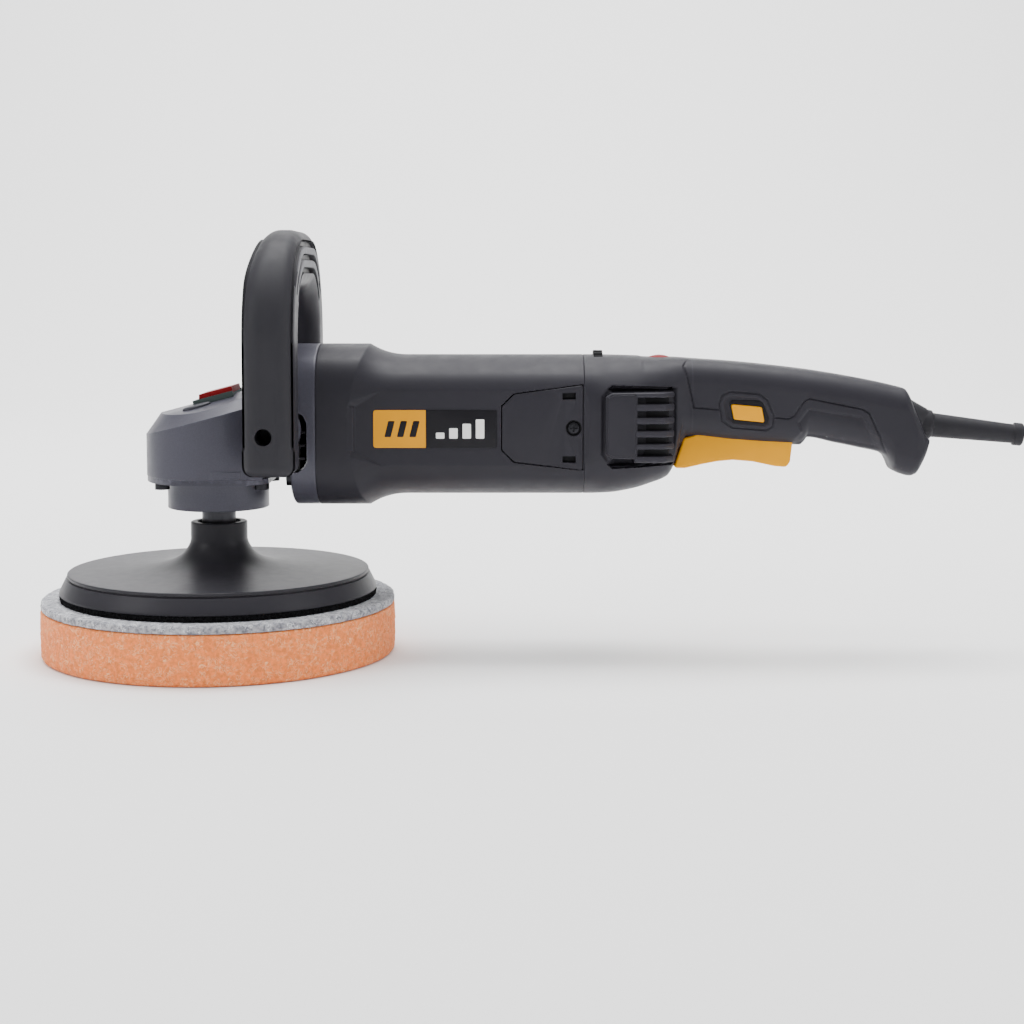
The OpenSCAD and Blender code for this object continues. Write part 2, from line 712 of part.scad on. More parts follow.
module side_plate_yellow() color("goldenrod") both_sides()
    translate([81.6, -barrel_half_w - plate_t, 107.1]) cube([26.1, plate_t, 18.8]);

module side_plate_dark() color("black") both_sides()
    translate([107.7, -barrel_half_w - plate_t, 107.1]) cube([35.2, plate_t, 18.8]);

// ---- rear housing ----

dial_r = 14;
dial_z = 140.6;
dial_x = 191.8;
dial_w = 4.5;
lug_l = 4;
inlet_points = [
    [193.2, 102.5], [198, 97.8], [231, 98.4], [231, 137.4], [198, 138], [193.2, 133.2]
];
inlet_slots = 5;
inlet_pitch = 6.5;

module rear_housing() color("dimgray") difference() {
    union() {
        difference() {
            loft(rear_sections);
            loft([for (i = [0 : len(rear_sections) - 1]) let (s = rear_sections[i])
                [s[0] + (i == 0 ? -0.5 : i == len(rear_sections) - 1 ? 0.5 : 0),
                 s[1], s[2], s[3], s[4]]], wall);
        }
        // lugs for the screws into the motor housing
        intersection() {
            for (a = [45, 135, 225, 315]) along_x(rear_x) rotate([0, 0, a])
                translate([20, -5, 0]) cube([16, 10, lug_l]);
            loft([rear_sections[0], rear_sections[1]]);
        }
    }
    for (y = [-1, 1], z = [-1, 1]) along_x(rear_x - 1, motor_z + 17 * z) translate([0, 17 * y, 0])
        cylinder(r = 2, h = 10);
    // slot of the dial
    along_x(dial_x - gap, dial_z) cylinder(r = dial_r + gap, h = dial_w + 2 * gap);
    // hole of the indicator
    translate([225.4, 0, 140]) cylinder(r = 4.6, h = 20);
    // air windows behind the grilles
    both_sides() translate([209, -36, 101]) cube([21, 22, 33]);
}

module rear_housing_screws() color("gray")
    for (y = [-1, 1], z = [-1, 1]) along_x(0, motor_z + 17 * z) translate([0, 17 * y, 0]) {
        translate([0, 0, 172]) cylinder(r = 2, h = rear_x + lug_l - 172);
        translate([0, 0, rear_x + lug_l]) cylinder(r = 3.6, h = 2.4);
    }

module inlet_grilles() color("dimgray") both_sides() difference() {
    side_plate(inlet_points, 19, 33.4);
    loft(rear_sections, -0.02);
    side_plate([for (p = inlet_points) [p[0] < 205 ? 209 : 228.6, p[1] < 117 ? 100 : 135.4]],
        10, 30.8);
    for (i = [0 : inlet_slots - 1])
        translate([210.5, -40, 102.4 + i * inlet_pitch]) cube([18.5, 20, 3.8]);
}

module speed_dial() color("black") {
    difference() {
        along_x(dial_x, dial_z) cylinder(r = dial_r, h = dial_w);
        for (i = [0 : 23]) along_x(dial_x - 1, dial_z) rotate([0, 0, 15 * i])
            translate([dial_r + 0.3, 0, 0]) cylinder(r = 0.8, h = 10, $fn = 16);
    }
    along_x(dial_x + dial_w, dial_z) cylinder(r = 2, h = 5);
}

module dial_potentiometer() color("steelblue") difference() {
    translate([197.2, -7, 133.5]) cube([7, 14, 14]);
    along_x(197, dial_z) cylinder(r = 2.05, h = 5);
}

module control_module() color("seagreen") {
    translate([194, -16, 97]) difference() {
        cube([27, 32, 24]);
        for (i = [0 : 4]) translate([-1, 2.6 + i * 6, 16]) cube([29, 2.8, 9]);
    }
    translate([204.2, -8, 121]) cube([1.6, 16, 24]);
    // indicator lamp on its own small board
    translate([205.8, -4, 139]) cube([24, 8, 1.4]);
    translate([225.4, 0, 140.4]) cylinder(r = 2.5, h = 6);
}

module indicator_lens() color("maroon") translate([225.4, 0, 0]) {
    translate([0, 0, 147.2]) cylinder(r = 4.5, h = 4);
    intersection() {
        translate([0, 0, 151]) cylinder(r = 5.5, h = 3);
        translate([0, 0, 138.6]) sphere(r = 13.7);
    }
}

// ---- rear handle ----

grip_screw_spots = [[252, 143], [298, 139], [334, 131.5], [349, 98], [310, 112.5]];
button_points = [[262.3, 128.4], [275.1, 126.9], [277.5, 119.4], [265.2, 120.9]];
trigger_points = [
    [234.3, 95.5], [239, 95.0], [253, 98.5], [270, 100.1], [281.5, 98.5], [289.7, 95.6],
    [291.9, 98.5], [292.6, 106], [292.6, 109], [285, 112.8], [246, 115], [242, 112]
];
sleeve_x = 355;
sleeve_z = 117.4;

module at_sleeve() translate([sleeve_x, 0, sleeve_z]) rotate([0, 90 + sleeve_tilt, 0]) children();

module grip_solid() difference() {
    loft(grip_sections);
    loft([for (i = [0 : len(grip_sections) - 2]) let (s = grip_sections[i])
        [s[0] + (i == 0 ? -0.5 : 0), s[1], s[2], s[3], s[4]]], wall);
    // slot of the trigger
    translate([grip_x - 6, -trigger_half_w - gap, 90]) cube([59.2, 2 * (trigger_half_w + gap), 30]);
    at_sleeve() {
        translate([0, 0, -4]) cylinder(r = 10.4, h = 4.2);
        cylinder(r = 7.9, h = 20);
    }
}

module grip_bosses() intersection() {
    for (p = grip_screw_spots) translate([p[0], -15, p[1]]) rotate([-90, 0, 0])
        cylinder(r = 3.4, h = 30);
    loft(grip_sections, wall - 2);
}

module grip_screw_holes() for (p = grip_screw_spots) translate([p[0], 0, p[1]]) {
    translate([0, -12, 0]) rotate([-90, 0, 0]) cylinder(r = 1.5, h = 40);
    translate([0, 11, 0]) rotate([-90, 0, 0]) cylinder(r = 3.1, h = 20);
}

module grip_half(side) difference() {
    union() {
        grip_solid();
        grip_bosses();
    }
    translate([200, side > 0 ? -60 : 0, 60]) cube([200, 60, 120]);
    grip_screw_holes();
    // holes of the trigger pin
    translate([pivot[0], -30, pivot[1]]) rotate([-90, 0, 0]) cylinder(r = 1.5, h = 60);
    // pocket of the lock-on button
    if (side < 0) side_plate([for (p = button_points) p + [
        p[0] < 268 ? -gap : gap, p[1] > 124 ? gap : -gap]], 10, 30);
}

module grip_shell_left() color("dimgray") grip_half(-1);

module grip_shell_right() color("dimgray") grip_half(1);

module grip_screws() color("gray") for (p = grip_screw_spots) translate([p[0], 0, p[1]])
    rotate([-90, 0, 0]) {
        translate([0, 0, -11]) cylinder(r = 1.5, h = 22);
        difference() {
            translate([0, 0, 11]) cylinder(r = 3, h = 2);
            for (a = [0, 90]) rotate([0, 0, a]) translate([-1.8, -0.4, 12.2]) cube([3.6, 0.8, 2]);
        }
    }

module trigger() color("gold") difference() {
    side_plate_centred(trigger_points, trigger_half_w);
    // hollow behind the finger face
    translate([250, -trigger_half_w + 2, 102.6]) cube([20, 2 * trigger_half_w - 4, 20]);
    translate([279, -trigger_half_w + 2, 102.6]) cube([10, 2 * trigger_half_w - 4, 20]);
    translate([pivot[0], -20, pivot[1]]) rotate([-90, 0, 0]) cylinder(r = 1.55, h = 40);
}

module side_plate_centred(points, half)
    rotate([90, 0, 0]) linear_extrude(2 * half, center = true) polygon(points);

module trigger_pin() color("silver")
    translate([pivot[0], -15, pivot[1]]) rotate([-90, 0, 0]) cylinder(r = 1.5, h = 30);

plunger_x = 275;
plunger_z = 113.6;

module power_switch() color("black") difference() {
    translate([250, -9, 119.5]) cube([34, 18, 19]);
    translate([plunger_x, 0, 119]) cylinder(r = 2.6, h = 6);
}

module switch_plunger() color("red")
    translate([plunger_x, 0, plunger_z]) cylinder(r = 2.5, h = 6);

module lock_on_button() color("gold") {
    side_plate(button_points, 12.5, 18.7);
    // flange that keeps it in the shell
    side_plate([for (p = button_points) p + [p[0] < 268 ? -1.4 : 1.4, p[1] > 124 ? 1.4 : -1.4]],
        12.5, 14.8);
}

module capacitor() color("ivory") {
    along_x(303, 130) cylinder(r = 6.5, h = 22);
    for (y = [-3, 3]) along_x(288, 130) translate([0, y, 0]) cylinder(r = 0.8, h = 15);
}

module cord_sleeve() color("black") at_sleeve() difference() {
    rotate_extrude() polygon([
        [cord_r, -4], [10, -4], [10, 0], [7.9, 0], [7.9, 5], [7.4, 9.2], [6.3, 9.8], [6.2, 10.5],
        [4.9, 51.5], [4.9, 52], [5.85, 52.4], [5.85, 56], [5.4, 56.6], [cord_r, 56.6]
    ]);
}

pad_foam();
pad_felt();
hook_layer();
backing_plate();
plate_insert();
spindle();
spindle_key();
crown_gear();
gear_circlip();
spindle_seal();
lower_bearing();
upper_bush();
bearing_flange();
flange_screws();
gear_case();
gear_case_screws();
bearing_plate();
front_bearing();
lock_base();
lock_button();
lock_spring();
handle_front_shell();
handle_rear_shell();
handle_band();
handle_bolts();
pinion();
armature_shaft();
armature_core();
armature_windings();
commutator();
cooling_fan();
motor_housing();
fan_baffle();
stator_core();
field_coils();
rear_bearing();
brush_holders();
carbon_brushes();
brush_springs();
brush_covers();
brush_cover_screws();
side_plate_yellow();
side_plate_dark();
rear_housing();
rear_housing_screws();
inlet_grilles();
speed_dial();
dial_potentiometer();
control_module();
indicator_lens();
grip_shell_left();
grip_shell_right();
grip_screws();
trigger();
trigger_pin();
power_switch();
switch_plunger();
lock_on_button();
capacitor();
cord_sleeve();
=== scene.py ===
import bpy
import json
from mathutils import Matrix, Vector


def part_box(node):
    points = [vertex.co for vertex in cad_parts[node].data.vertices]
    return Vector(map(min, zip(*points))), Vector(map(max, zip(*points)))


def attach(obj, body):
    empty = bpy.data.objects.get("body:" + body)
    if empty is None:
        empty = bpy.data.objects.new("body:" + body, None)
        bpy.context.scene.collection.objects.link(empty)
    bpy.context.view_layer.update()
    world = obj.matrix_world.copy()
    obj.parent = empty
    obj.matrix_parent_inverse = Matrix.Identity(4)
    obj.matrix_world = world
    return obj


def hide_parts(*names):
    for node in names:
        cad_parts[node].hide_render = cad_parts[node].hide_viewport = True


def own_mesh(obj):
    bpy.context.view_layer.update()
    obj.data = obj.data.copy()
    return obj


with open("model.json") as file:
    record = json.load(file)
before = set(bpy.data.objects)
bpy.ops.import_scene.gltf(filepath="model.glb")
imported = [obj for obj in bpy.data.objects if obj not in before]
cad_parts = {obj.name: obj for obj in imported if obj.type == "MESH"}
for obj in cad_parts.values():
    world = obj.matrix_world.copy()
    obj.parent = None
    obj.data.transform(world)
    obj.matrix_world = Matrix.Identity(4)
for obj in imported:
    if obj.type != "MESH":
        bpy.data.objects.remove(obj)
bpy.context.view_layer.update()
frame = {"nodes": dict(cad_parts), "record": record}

# Rotary polisher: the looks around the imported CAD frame. Lengths are millimetres in the object's
# frame (+X to the cord, +Z up, -Y towards the camera), and become metres in closed_object().

import json
from math import acos, asin, cos, hypot, pi, radians, sin, sqrt, tan

import bmesh
import bpy
import numpy as np
from mathutils import Vector, noise

MM = 0.001


def cad_mm(node):
    """Lowest and highest corner of a CAD node, in millimetres."""
    lo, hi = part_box(node)
    return np.array(lo) / MM, np.array(hi) / MM


# ---- places taken from the frame ----

MOTOR_LO, MOTOR_HI = cad_mm("motor_housing")
REAR_LO, REAR_HI = cad_mm("rear_housing")
LOOP_LO, LOOP_HI = cad_mm("handle_band")
SHELL_LO, SHELL_HI = cad_mm("handle_rear_shell")
FRONT_X = cad_mm("handle_front_shell")[0][0]
MOTOR_Z = (MOTOR_LO[2] + MOTOR_HI[2]) / 2


# ---- small maths ----

def ease(t):
    """0 to 1 with soft ends."""
    t = np.clip(t, 0, 1)
    return t * t * (3 - 2 * t)


def line_distance(x, z, points, closed=False):
    """Distance of each (x, z) from a line through points."""
    pts = np.array(points, float)
    ends = np.roll(pts, -1, 0) if closed else pts[1:]
    starts = pts if closed else pts[:-1]
    best = np.full(np.shape(x), 1e9)
    for (ax, az), (bx, bz) in zip(starts, ends):
        dx, dz = bx - ax, bz - az
        t = np.clip(((x - ax) * dx + (z - az) * dz) / max(dx * dx + dz * dz, 1e-9), 0, 1)
        best = np.minimum(best, np.hypot(x - ax - t * dx, z - az - t * dz))
    return best


def inside(x, z, points):
    """True where (x, z) lies in the polygon."""
    pts = np.array(points, float)
    hit = np.zeros(np.shape(x), bool)
    for (ax, az), (bx, bz) in zip(pts, np.roll(pts, -1, 0)):
        crosses = (az > z) != (bz > z)
        edge_x = ax + (z - az) / np.where(bz == az, 1e-9, bz - az) * (bx - ax)
        hit ^= crosses & (x < edge_x)
    return hit


def polygon_distance(x, z, points):
    """Distance from a polygon's outline, negative inside."""
    d = line_distance(x, z, points, closed=True)
    return np.where(inside(x, z, points), -d, d)


def groove(distance, width, depth):
    """Depth of a groove at each distance from its centre line."""
    return depth * ease(1 - distance / (width / 2)) ** 0.6


def smooth_values(x, table):
    """Monotone cubic through a table of (x, value)."""
    xs, ys = np.array(table, float).T
    h = np.diff(xs)
    slope = np.diff(ys) / h
    m = np.zeros(len(xs))
    same = slope[:-1] * slope[1:] > 0
    m[1:-1][same] = 2 * slope[:-1][same] * slope[1:][same] / (slope[:-1] + slope[1:])[same]
    m[0], m[-1] = slope[0], slope[-1]
    x = np.clip(x, xs[0], xs[-1])
    i = np.clip(np.searchsorted(xs, x, side="right") - 1, 0, len(xs) - 2)
    t = (x - xs[i]) / h[i]
    return ((2 * t**3 - 3 * t**2 + 1) * ys[i] + (t**3 - 2 * t**2 + t) * h[i] * m[i]
            + (3 * t**2 - 2 * t**3) * ys[i + 1] + (t**3 - t**2) * h[i] * m[i + 1])


def round_corners(points, radius, steps=6):
    """A closed outline with each corner rounded."""
    pts = [np.array(p, float) for p in points]
    out = []
    for i, p in enumerate(pts):
        a, b = pts[i - 1] - p, pts[(i + 1) % len(pts)] - p
        la, lb = np.linalg.norm(a), np.linalg.norm(b)
        a, b = a / la, b / lb
        half = acos(np.clip(np.dot(a, b), -1, 1)) / 2
        r = radius[i] if isinstance(radius, (list, tuple)) else radius
        cut = min(r / tan(half), 0.45 * la, 0.45 * lb)
        for k in range(steps + 1):
            t = k / steps
            out.append((1 - t) ** 2 * (p + a * cut) + 2 * t * (1 - t) * p + t * t * (p + b * cut))
    return np.array(out)


def resample(points, step=0.5, count=None):
    """Points at even steps along a closed outline, or count of them."""
    pts = np.vstack([points, points[:1]])
    run = np.concatenate([[0], np.cumsum(np.linalg.norm(np.diff(pts, axis=0), axis=1))])
    n = count or max(12, int(run[-1] / step))
    s = np.linspace(0, run[-1], n, endpoint=False)
    return np.column_stack([np.interp(s, run, pts[:, k]) for k in range(2)])


def offset_outline(points, distance):
    """A closed outline moved inward by distance."""
    points = np.asarray(points, float)
    ahead, behind = np.roll(points, -1, 0) - points, points - np.roll(points, 1, 0)
    n = sum(np.column_stack([-d[:, 1], d[:, 0]]) / np.linalg.norm(d, axis=1)[:, None]
            for d in (ahead, behind))
    n /= np.maximum(np.linalg.norm(n, axis=1), 1e-6)[:, None]
    x, y = points.T
    area = np.sum(x * np.roll(y, -1) - np.roll(x, -1) * y)
    return points + n * distance * (1 if area > 0 else -1)


# ---- meshes ----

def placed(name, data):
    """A new object in the scene."""
    obj = bpy.data.objects.new(name, data)
    bpy.context.scene.collection.objects.link(obj)
    return obj


def closed_object(name, verts, faces):
    """An object of a closed mesh, with its normals outward."""
    mesh = bpy.data.meshes.new(name)
    mesh.from_pydata((np.asarray(verts) * MM).tolist(), [], faces)
    bm = bmesh.new()
    bm.from_mesh(mesh)
    bmesh.ops.remove_doubles(bm, verts=bm.verts, dist=1e-7)
    bmesh.ops.recalc_face_normals(bm, faces=bm.faces)
    bm.to_mesh(mesh)
    bm.free()
    return placed(name, mesh)


def mesh_piece(name, part, slot, *nodes, body="polisher_body", look=None, sharp=35, cuts=()):
    """A closed mesh as a piece of a body, which may stand for CAD nodes."""
    obj = closed_object(name, *part)
    if cuts:
        tools = [closed_object("cut", *cut) for cut in cuts]
        for tool in tools:
            hole = obj.modifiers.new("cut", "BOOLEAN")
            hole.object = tool
            hole.operation = "DIFFERENCE"
            hole.solver = "EXACT"
        result = obj.evaluated_get(bpy.context.evaluated_depsgraph_get())
        plain = obj.data
        obj.data = bpy.data.meshes.new_from_object(result)
        obj.modifiers.clear()
        bpy.data.meshes.remove(plain)
        for tool in tools:
            bpy.data.meshes.remove(tool.data)
    mesh = obj.data
    mesh.shade_smooth()
    mesh.set_sharp_from_angle(angle=radians(sharp))
    mesh.materials.clear()
    mesh.materials.append((look or LOOKS[slot]).material)
    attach(obj, body)
    if nodes:
        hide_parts(*nodes)
    return obj


def grid_faces(rows, cols, start=0, wrap_rows=False):
    """Quads of a grid whose columns run round in a ring."""
    r = np.arange(rows if wrap_rows else rows - 1)[:, None]
    c = np.arange(cols)[None, :]
    nr, nc = (r + 1) % rows, (c + 1) % cols
    quads = np.stack([r * cols + c, r * cols + nc, nr * cols + nc, nr * cols + c], -1)
    return (quads.reshape(-1, 4) + start).tolist()


def closed_rings(rings):
    """Vertices and faces of rings of points, with a flat cap on each end."""
    rings = np.array(rings)
    rows, cols = rings.shape[:2]
    caps = [list(range(cols)), list(range((rows - 1) * cols, rows * cols))]
    return rings.reshape(-1, 3), grid_faces(rows, cols) + caps


def hollow_rings(x, y, z, wall=2.0, cap_end=False):
    """A shell along X: the rings outside, and every twelfth pulled in by the wall inside."""
    rings = np.stack([x, y, z], -1)
    rows, cols = rings.shape[:2]
    inner = rings[sorted({*range(0, rows, 12), rows - 1})]
    arm = inner - inner.mean(1, keepdims=True)
    arm[..., 0] = 0
    length = np.maximum(np.linalg.norm(arm, axis=2, keepdims=True), 1e-6)
    inner -= arm / length * np.minimum(wall, 0.6 * length)
    if cap_end:
        inner[-1, :, 0] -= wall
    n = rows * cols
    last_in = n + (len(inner) - 1) * cols
    faces = grid_faces(rows, cols) + [f[::-1] for f in grid_faces(len(inner), cols, n)]
    for c in range(cols):
        k = (c + 1) % cols
        faces.append([c, n + c, n + k, k])
        if not cap_end:
            faces.append([n - cols + c, n - cols + k, last_in + k, last_in + c])
    if cap_end:
        faces += [list(range(n - cols, n)), list(range(last_in, last_in + cols))]
    return np.vstack([rings.reshape(-1, 3), inner.reshape(-1, 3)]), faces


def lathe(profile, segments, ripple=None):
    """Rings of a closed profile of (r, z) turned about Z, and their faces."""
    turn = np.linspace(0, 2 * pi, segments, endpoint=False)
    r, z = np.array(profile, float).T[:, :, None]
    rings = np.stack([r * np.cos(turn), r * np.sin(turn), z + 0 * turn], -1)
    if ripple:
        rings = ripple(rings)
    return rings.reshape(-1, 3), grid_faces(len(profile), segments, wrap_rows=True)


def lathe_y(profile, segments, x, z):
    """The same from a profile of (r, y), about an axis along Y at (x, z)."""
    verts, faces = lathe(profile, segments)
    return verts[:, [0, 2, 1]] + (x, 0, z), faces


def arc_points(cx, cz, r, a0, a1, steps=6):
    """Points of an arc, with angles in degrees."""
    return [(cx + r * cos(radians(a)), cz + r * sin(radians(a)))
            for a in np.linspace(a0, a1, steps + 1)]


def prism(outline, y0, y1, edge, step=0.8, both=True):
    """A plate of an outline in X and Z, from y0 to y1, its edges rounded by edge."""
    base = resample(np.array(outline, float), step)
    side = 1 if y1 > y0 else -1
    curve = [(side * edge * (1 - sin(a)), edge * (1 - cos(a)))
             for a in np.linspace(0, pi / 2, 5)]
    start = [(y0 + run, inset) for run, inset in reversed(curve)] if both else [(y0, 0)]
    levels = start + [(y1 - run, inset) for run, inset in curve]
    return closed_rings([np.insert(offset_outline(base, inset), 1, y, axis=1) for y, inset in levels])


def drill(x, z, r, y0, y1):
    """A round bar along Y."""
    turn = np.linspace(0, 2 * pi, 48, endpoint=False)
    ring = np.column_stack([x + r * np.cos(turn), 0 * turn, z + r * np.sin(turn)])
    return closed_rings([ring + (0, y, 0) for y in (y0, y1)])


def slat(x0, x1, y0, y1, z0, z1, r):
    """A bar along X, its long edges and its far end rounded by r."""
    corners = ((y1 - r, z1 - r, 0), (y0 + r, z1 - r, 90), (y0 + r, z0 + r, 180), (y1 - r, z0 + r, 270))
    levels = [(x, 0) for x in (x0, x1 - 6, x1 - 4, x1 - r)]
    levels += [(x1 - r + r * sin(a), r * (1 - cos(a)) * 0.8)
               for a in np.linspace(0, pi / 2, 6)[1:-1]]
    return closed_rings([[(x, *p) for cy, cz, a in corners
                          for p in arc_points(cy, cz, r - inset, a, a + 90, 5)]
                         for x, inset in levels + [(x1, 0.8 * r)]])


def join(*parts):
    """Several meshes as one list of vertices and faces."""
    faces, start = [], 0
    for v, f in parts:
        faces += [[i + start for i in face] for face in f]
        start += len(v)
    return np.vstack([v for v, _ in parts]), faces


def mirrored(part):
    verts, faces = part
    return verts * (1, -1, 1), [face[::-1] for face in faces]


def pair(part):
    """A part and its mirror image on the far side."""
    return join(part, mirrored(part))


# ---- materials ----

def srgb(r, g, b):
    """Scene colour of an 8-bit screen colour."""
    return tuple((c / 255 / 12.92) if c < 11 else ((c / 255 + 0.055) / 1.055) ** 2.4 for c in (r, g, b))


def shade(color, k):
    return tuple(min(1.0, c * k) for c in color)


class Look:
    """A material's node tree, with helpers that the looks below share."""

    def __init__(self, name, color, rough, metal=0.0, coat=0.0, sheen=0.0, specular=0.14):
        self.material = bpy.data.materials.new(name)
        self.material.use_nodes = True
        self.tree = self.material.node_tree
        self.shader = self.tree.nodes["Principled BSDF"]
        self.base_color, self.base_rough = color, rough
        for key, value in (("Base Color", (*color, 1)), ("Roughness", rough), ("Metallic", metal),
                           ("Coat Weight", coat), ("Coat Roughness", 0.2), ("Sheen Weight", sheen),
                           ("Specular IOR Level", specular)):
            self.shader.inputs[key].default_value = value
        self.place = self.node("ShaderNodeTexCoord", {}, "Object")
        self.normal = None

    def node(self, kind, inputs, output, **settings):
        """An output of a new node, which takes the values or outputs in inputs."""
        n = self.tree.nodes.new(kind)
        for key, value in settings.items():
            setattr(n, key, value)
        for key, value in inputs.items():
            if isinstance(value, bpy.types.NodeSocket):
                self.tree.links.new(value, n.inputs[key])
            else:
                n.inputs[key].default_value = value
        return n.outputs[output]

    def stretched(self, scale):
        return self.node("ShaderNodeMapping", {"Scale": scale, "Vector": self.place}, "Vector")

    def noise(self, scale, detail=3.0, rough=0.55, warp=0.0, place=None):
        return self.node("ShaderNodeTexNoise", {
            "Scale": scale, "Detail": detail, "Roughness": rough, "Distortion": warp,
            "Vector": place or self.place}, "Fac")

    def cells(self, scale):
        return self.node("ShaderNodeTexVoronoi", {"Scale": scale, "Vector": self.place}, "Distance",
                         feature="F1")

    def spread(self, value, low, high, to_low=0.0, to_high=1.0):
        """The range low to high of a value, as to_low to to_high."""
        return self.node("ShaderNodeMapRange", {
            "Value": value, "From Min": low, "From Max": high, "To Min": to_low, "To Max": to_high}, "Result")

    def maths(self, operation, a, b=0.0):
        return self.node("ShaderNodeMath", {0: a, 1: b}, "Value", operation=operation)

    def mix(self, amount, *ends):
        """A mix of two outputs, colours, or shades of the look's own colour as numbers."""
        ends = (shade(self.base_color, v) if isinstance(v, float) else v for v in ends)
        a, b = ((*v, 1) if isinstance(v, tuple) else v for v in ends)
        return self.node("ShaderNodeMix", {"Factor": amount, 6: a, 7: b}, 2, data_type="RGBA")

    def drive(self, name, value):
        self.tree.links.new(value, self.shader.inputs[name])

    def color(self, value):
        self.drive("Base Color", value)

    def rough(self, value, low, high, less, more):
        """Roughness from its base - less to base + more, as a value goes from low to high."""
        rough = self.base_rough
        self.drive("Roughness", self.spread(value, low, high, rough - less, rough + more))

    def smudges(self, scale, less, more):
        self.rough(self.noise(scale, 4.0), 0.3, 0.7, less, more)

    def bump(self, height, strength, distance):
        inputs = {"Strength": strength, "Distance": distance, "Height": height}
        if self.normal:
            inputs["Normal"] = self.normal
        self.normal = self.node("ShaderNodeBump", inputs, "Normal")
        self.drive("Normal", self.normal)

    def edges(self):
        """Bright on worn convex edges, from the mesh's own curvature."""
        return self.spread(self.node("ShaderNodeNewGeometry", {}, "Pointiness"), 0.52, 0.6)

    def threads(self, field, width):
        """Thin curled threads, where a warped noise crosses its middle."""
        away = self.maths("ABSOLUTE", self.maths("SUBTRACT", field, 0.5))
        return self.spread(away, 0.0, width, 1.0, 0.0)


def moulded(name, color, rough=0.46, grain=2600, wear=0.0):
    """Moulded plastic: eroded grain, faint mottling, and edges rubbed lighter."""
    look = Look(name, color, rough)
    tone = look.mix(look.noise(28), 0.9, 1.1)
    look.color(look.mix(look.maths("MULTIPLY", look.edges(), wear), tone, 1.9))
    look.smudges(160, 0.05, 0.06)
    look.bump(look.noise(grain, 2.0, 0.6), 0.22, 0.00004)
    return look


def painted(name, color):
    """Paint on a casting: orange peel, fine flakes, and thin wear on the edges."""
    look = Look(name, color, 0.38, metal=0.15, coat=0.08)
    tone = look.mix(look.spread(look.cells(2400), 0.0, 0.6), 1.12, 0.93)
    worn = look.maths("MULTIPLY", look.edges(), look.spread(look.noise(300, 4.0), 0.45, 0.6, 0.0, 0.5))
    look.color(look.mix(worn, tone, 2.2))
    look.smudges(120, 0.06, 0.07)
    look.bump(look.noise(420, 2.0), 0.25, 0.00012)
    look.bump(look.noise(2600, 2.0), 0.12, 0.00004)
    return look


def metal(name, color, rough=0.3, brushed=(1, 1, 1)):
    """Machined metal: fine tool marks along the stretched axis."""
    look = Look(name, color, rough, metal=1.0)
    lines = look.noise(900, 4.0, 0.7, place=look.stretched(brushed))
    look.color(look.mix(look.noise(60), 0.85, 1.08))
    look.rough(lines, 0.25, 0.75, 0.08, 0.12)
    look.bump(lines, 0.12, 0.00005)
    return look


def foam(name, color, light):
    """Open foam: torn cells all over, darkened in their hollows as painted shade, with lighter curled
    strands.
    """
    look = Look(name, color, 0.92, sheen=0.1)
    thin = look.threads(look.noise(330, 1.0, 0.5, warp=1.7), 0.045)
    patches = look.spread(look.noise(240, 1.0), 0.40, 0.52)
    pores = look.cells(1500)
    base = look.mix(look.spread(look.noise(600), 0.35, 0.65), 0.72, 1.08)
    speckled = look.mix(look.maths("MULTIPLY", thin, patches), base, light)
    # the pore hollows darken towards 0.6 of the colour: painted shade in the cells
    look.color(look.mix(look.spread(pores, 0.0, 0.25, 0.5, 0.0), speckled, 0.6))
    look.bump(pores, 0.5, 0.0005)
    look.bump(thin, 0.4, 0.0004)
    return look


def felt(name, color, light, dark):
    """Looped fleece: matted fibres in two greys with pale strands."""
    look = Look(name, color, 0.95, sheen=0.2)
    strand = look.noise(420, 2.0, 0.5, warp=2.2)
    clumps = look.spread(look.noise(210, 2.0), 0.44, 0.58)
    tone = look.mix(look.spread(look.noise(520), 0.35, 0.65), dark, color)
    look.color(look.mix(look.maths("MULTIPLY", look.threads(strand, 0.04), clumps), tone, light))
    look.bump(strand, 0.8, 0.0006)
    look.bump(look.cells(2200), 0.4, 0.0003)
    return look


def hooks(name, color):
    """Hook tape: a dense field of small stiff hooks."""
    look = Look(name, color, 0.8)
    pins = look.cells(1300)
    look.color(look.mix(look.spread(pins, 0.0, 0.5, 1.0, 0.0), 0.4, 2.2))
    look.bump(pins, 1.0, 0.0012)
    return look


def rubber(name, color, rough):
    look = Look(name, color, rough)
    look.color(look.mix(look.noise(90, 4.0), 0.85, 1.15))
    look.smudges(260, 0.07, 0.07)
    look.bump(look.noise(3200, 2.0), 0.3, 0.00005)
    return look


def turned(name, color):
    """Moulded disc with faint rings left by the tool."""
    look = Look(name, color, 0.4)
    x = look.node("ShaderNodeSeparateXYZ", {"Vector": look.place}, "X")
    squares = [look.maths("MULTIPLY", v, v) for v in (x, x.node.outputs["Y"])]
    radius = look.maths("SQRT", look.maths("ADD", *squares))
    look.color(look.mix(look.noise(40), 0.96, 1.04))
    look.smudges(200, 0.01, 0.03)
    look.bump(look.maths("SINE", look.maths("MULTIPLY", radius, 9000.0)), 0.06, 0.00002)
    look.bump(look.noise(2400, 2.0), 0.15, 0.00004)
    return look


def wound(name, color):
    """Enamelled wire: tight parallel turns, coloured darker in their troughs and lighter on their crests as
    painted shade and painted highlight.
    """
    look = Look(name, color, 0.35, metal=0.6, coat=0.3)
    turns = look.noise(2600, 1.0, 0.4, place=look.stretched((0.15, 1, 1)))
    # the same field as the bump: troughs darker as painted shade, crests lighter as painted highlight
    look.color(look.mix(turns, 0.55, 1.25))
    look.bump(turns, 0.5, 0.0002)
    return look


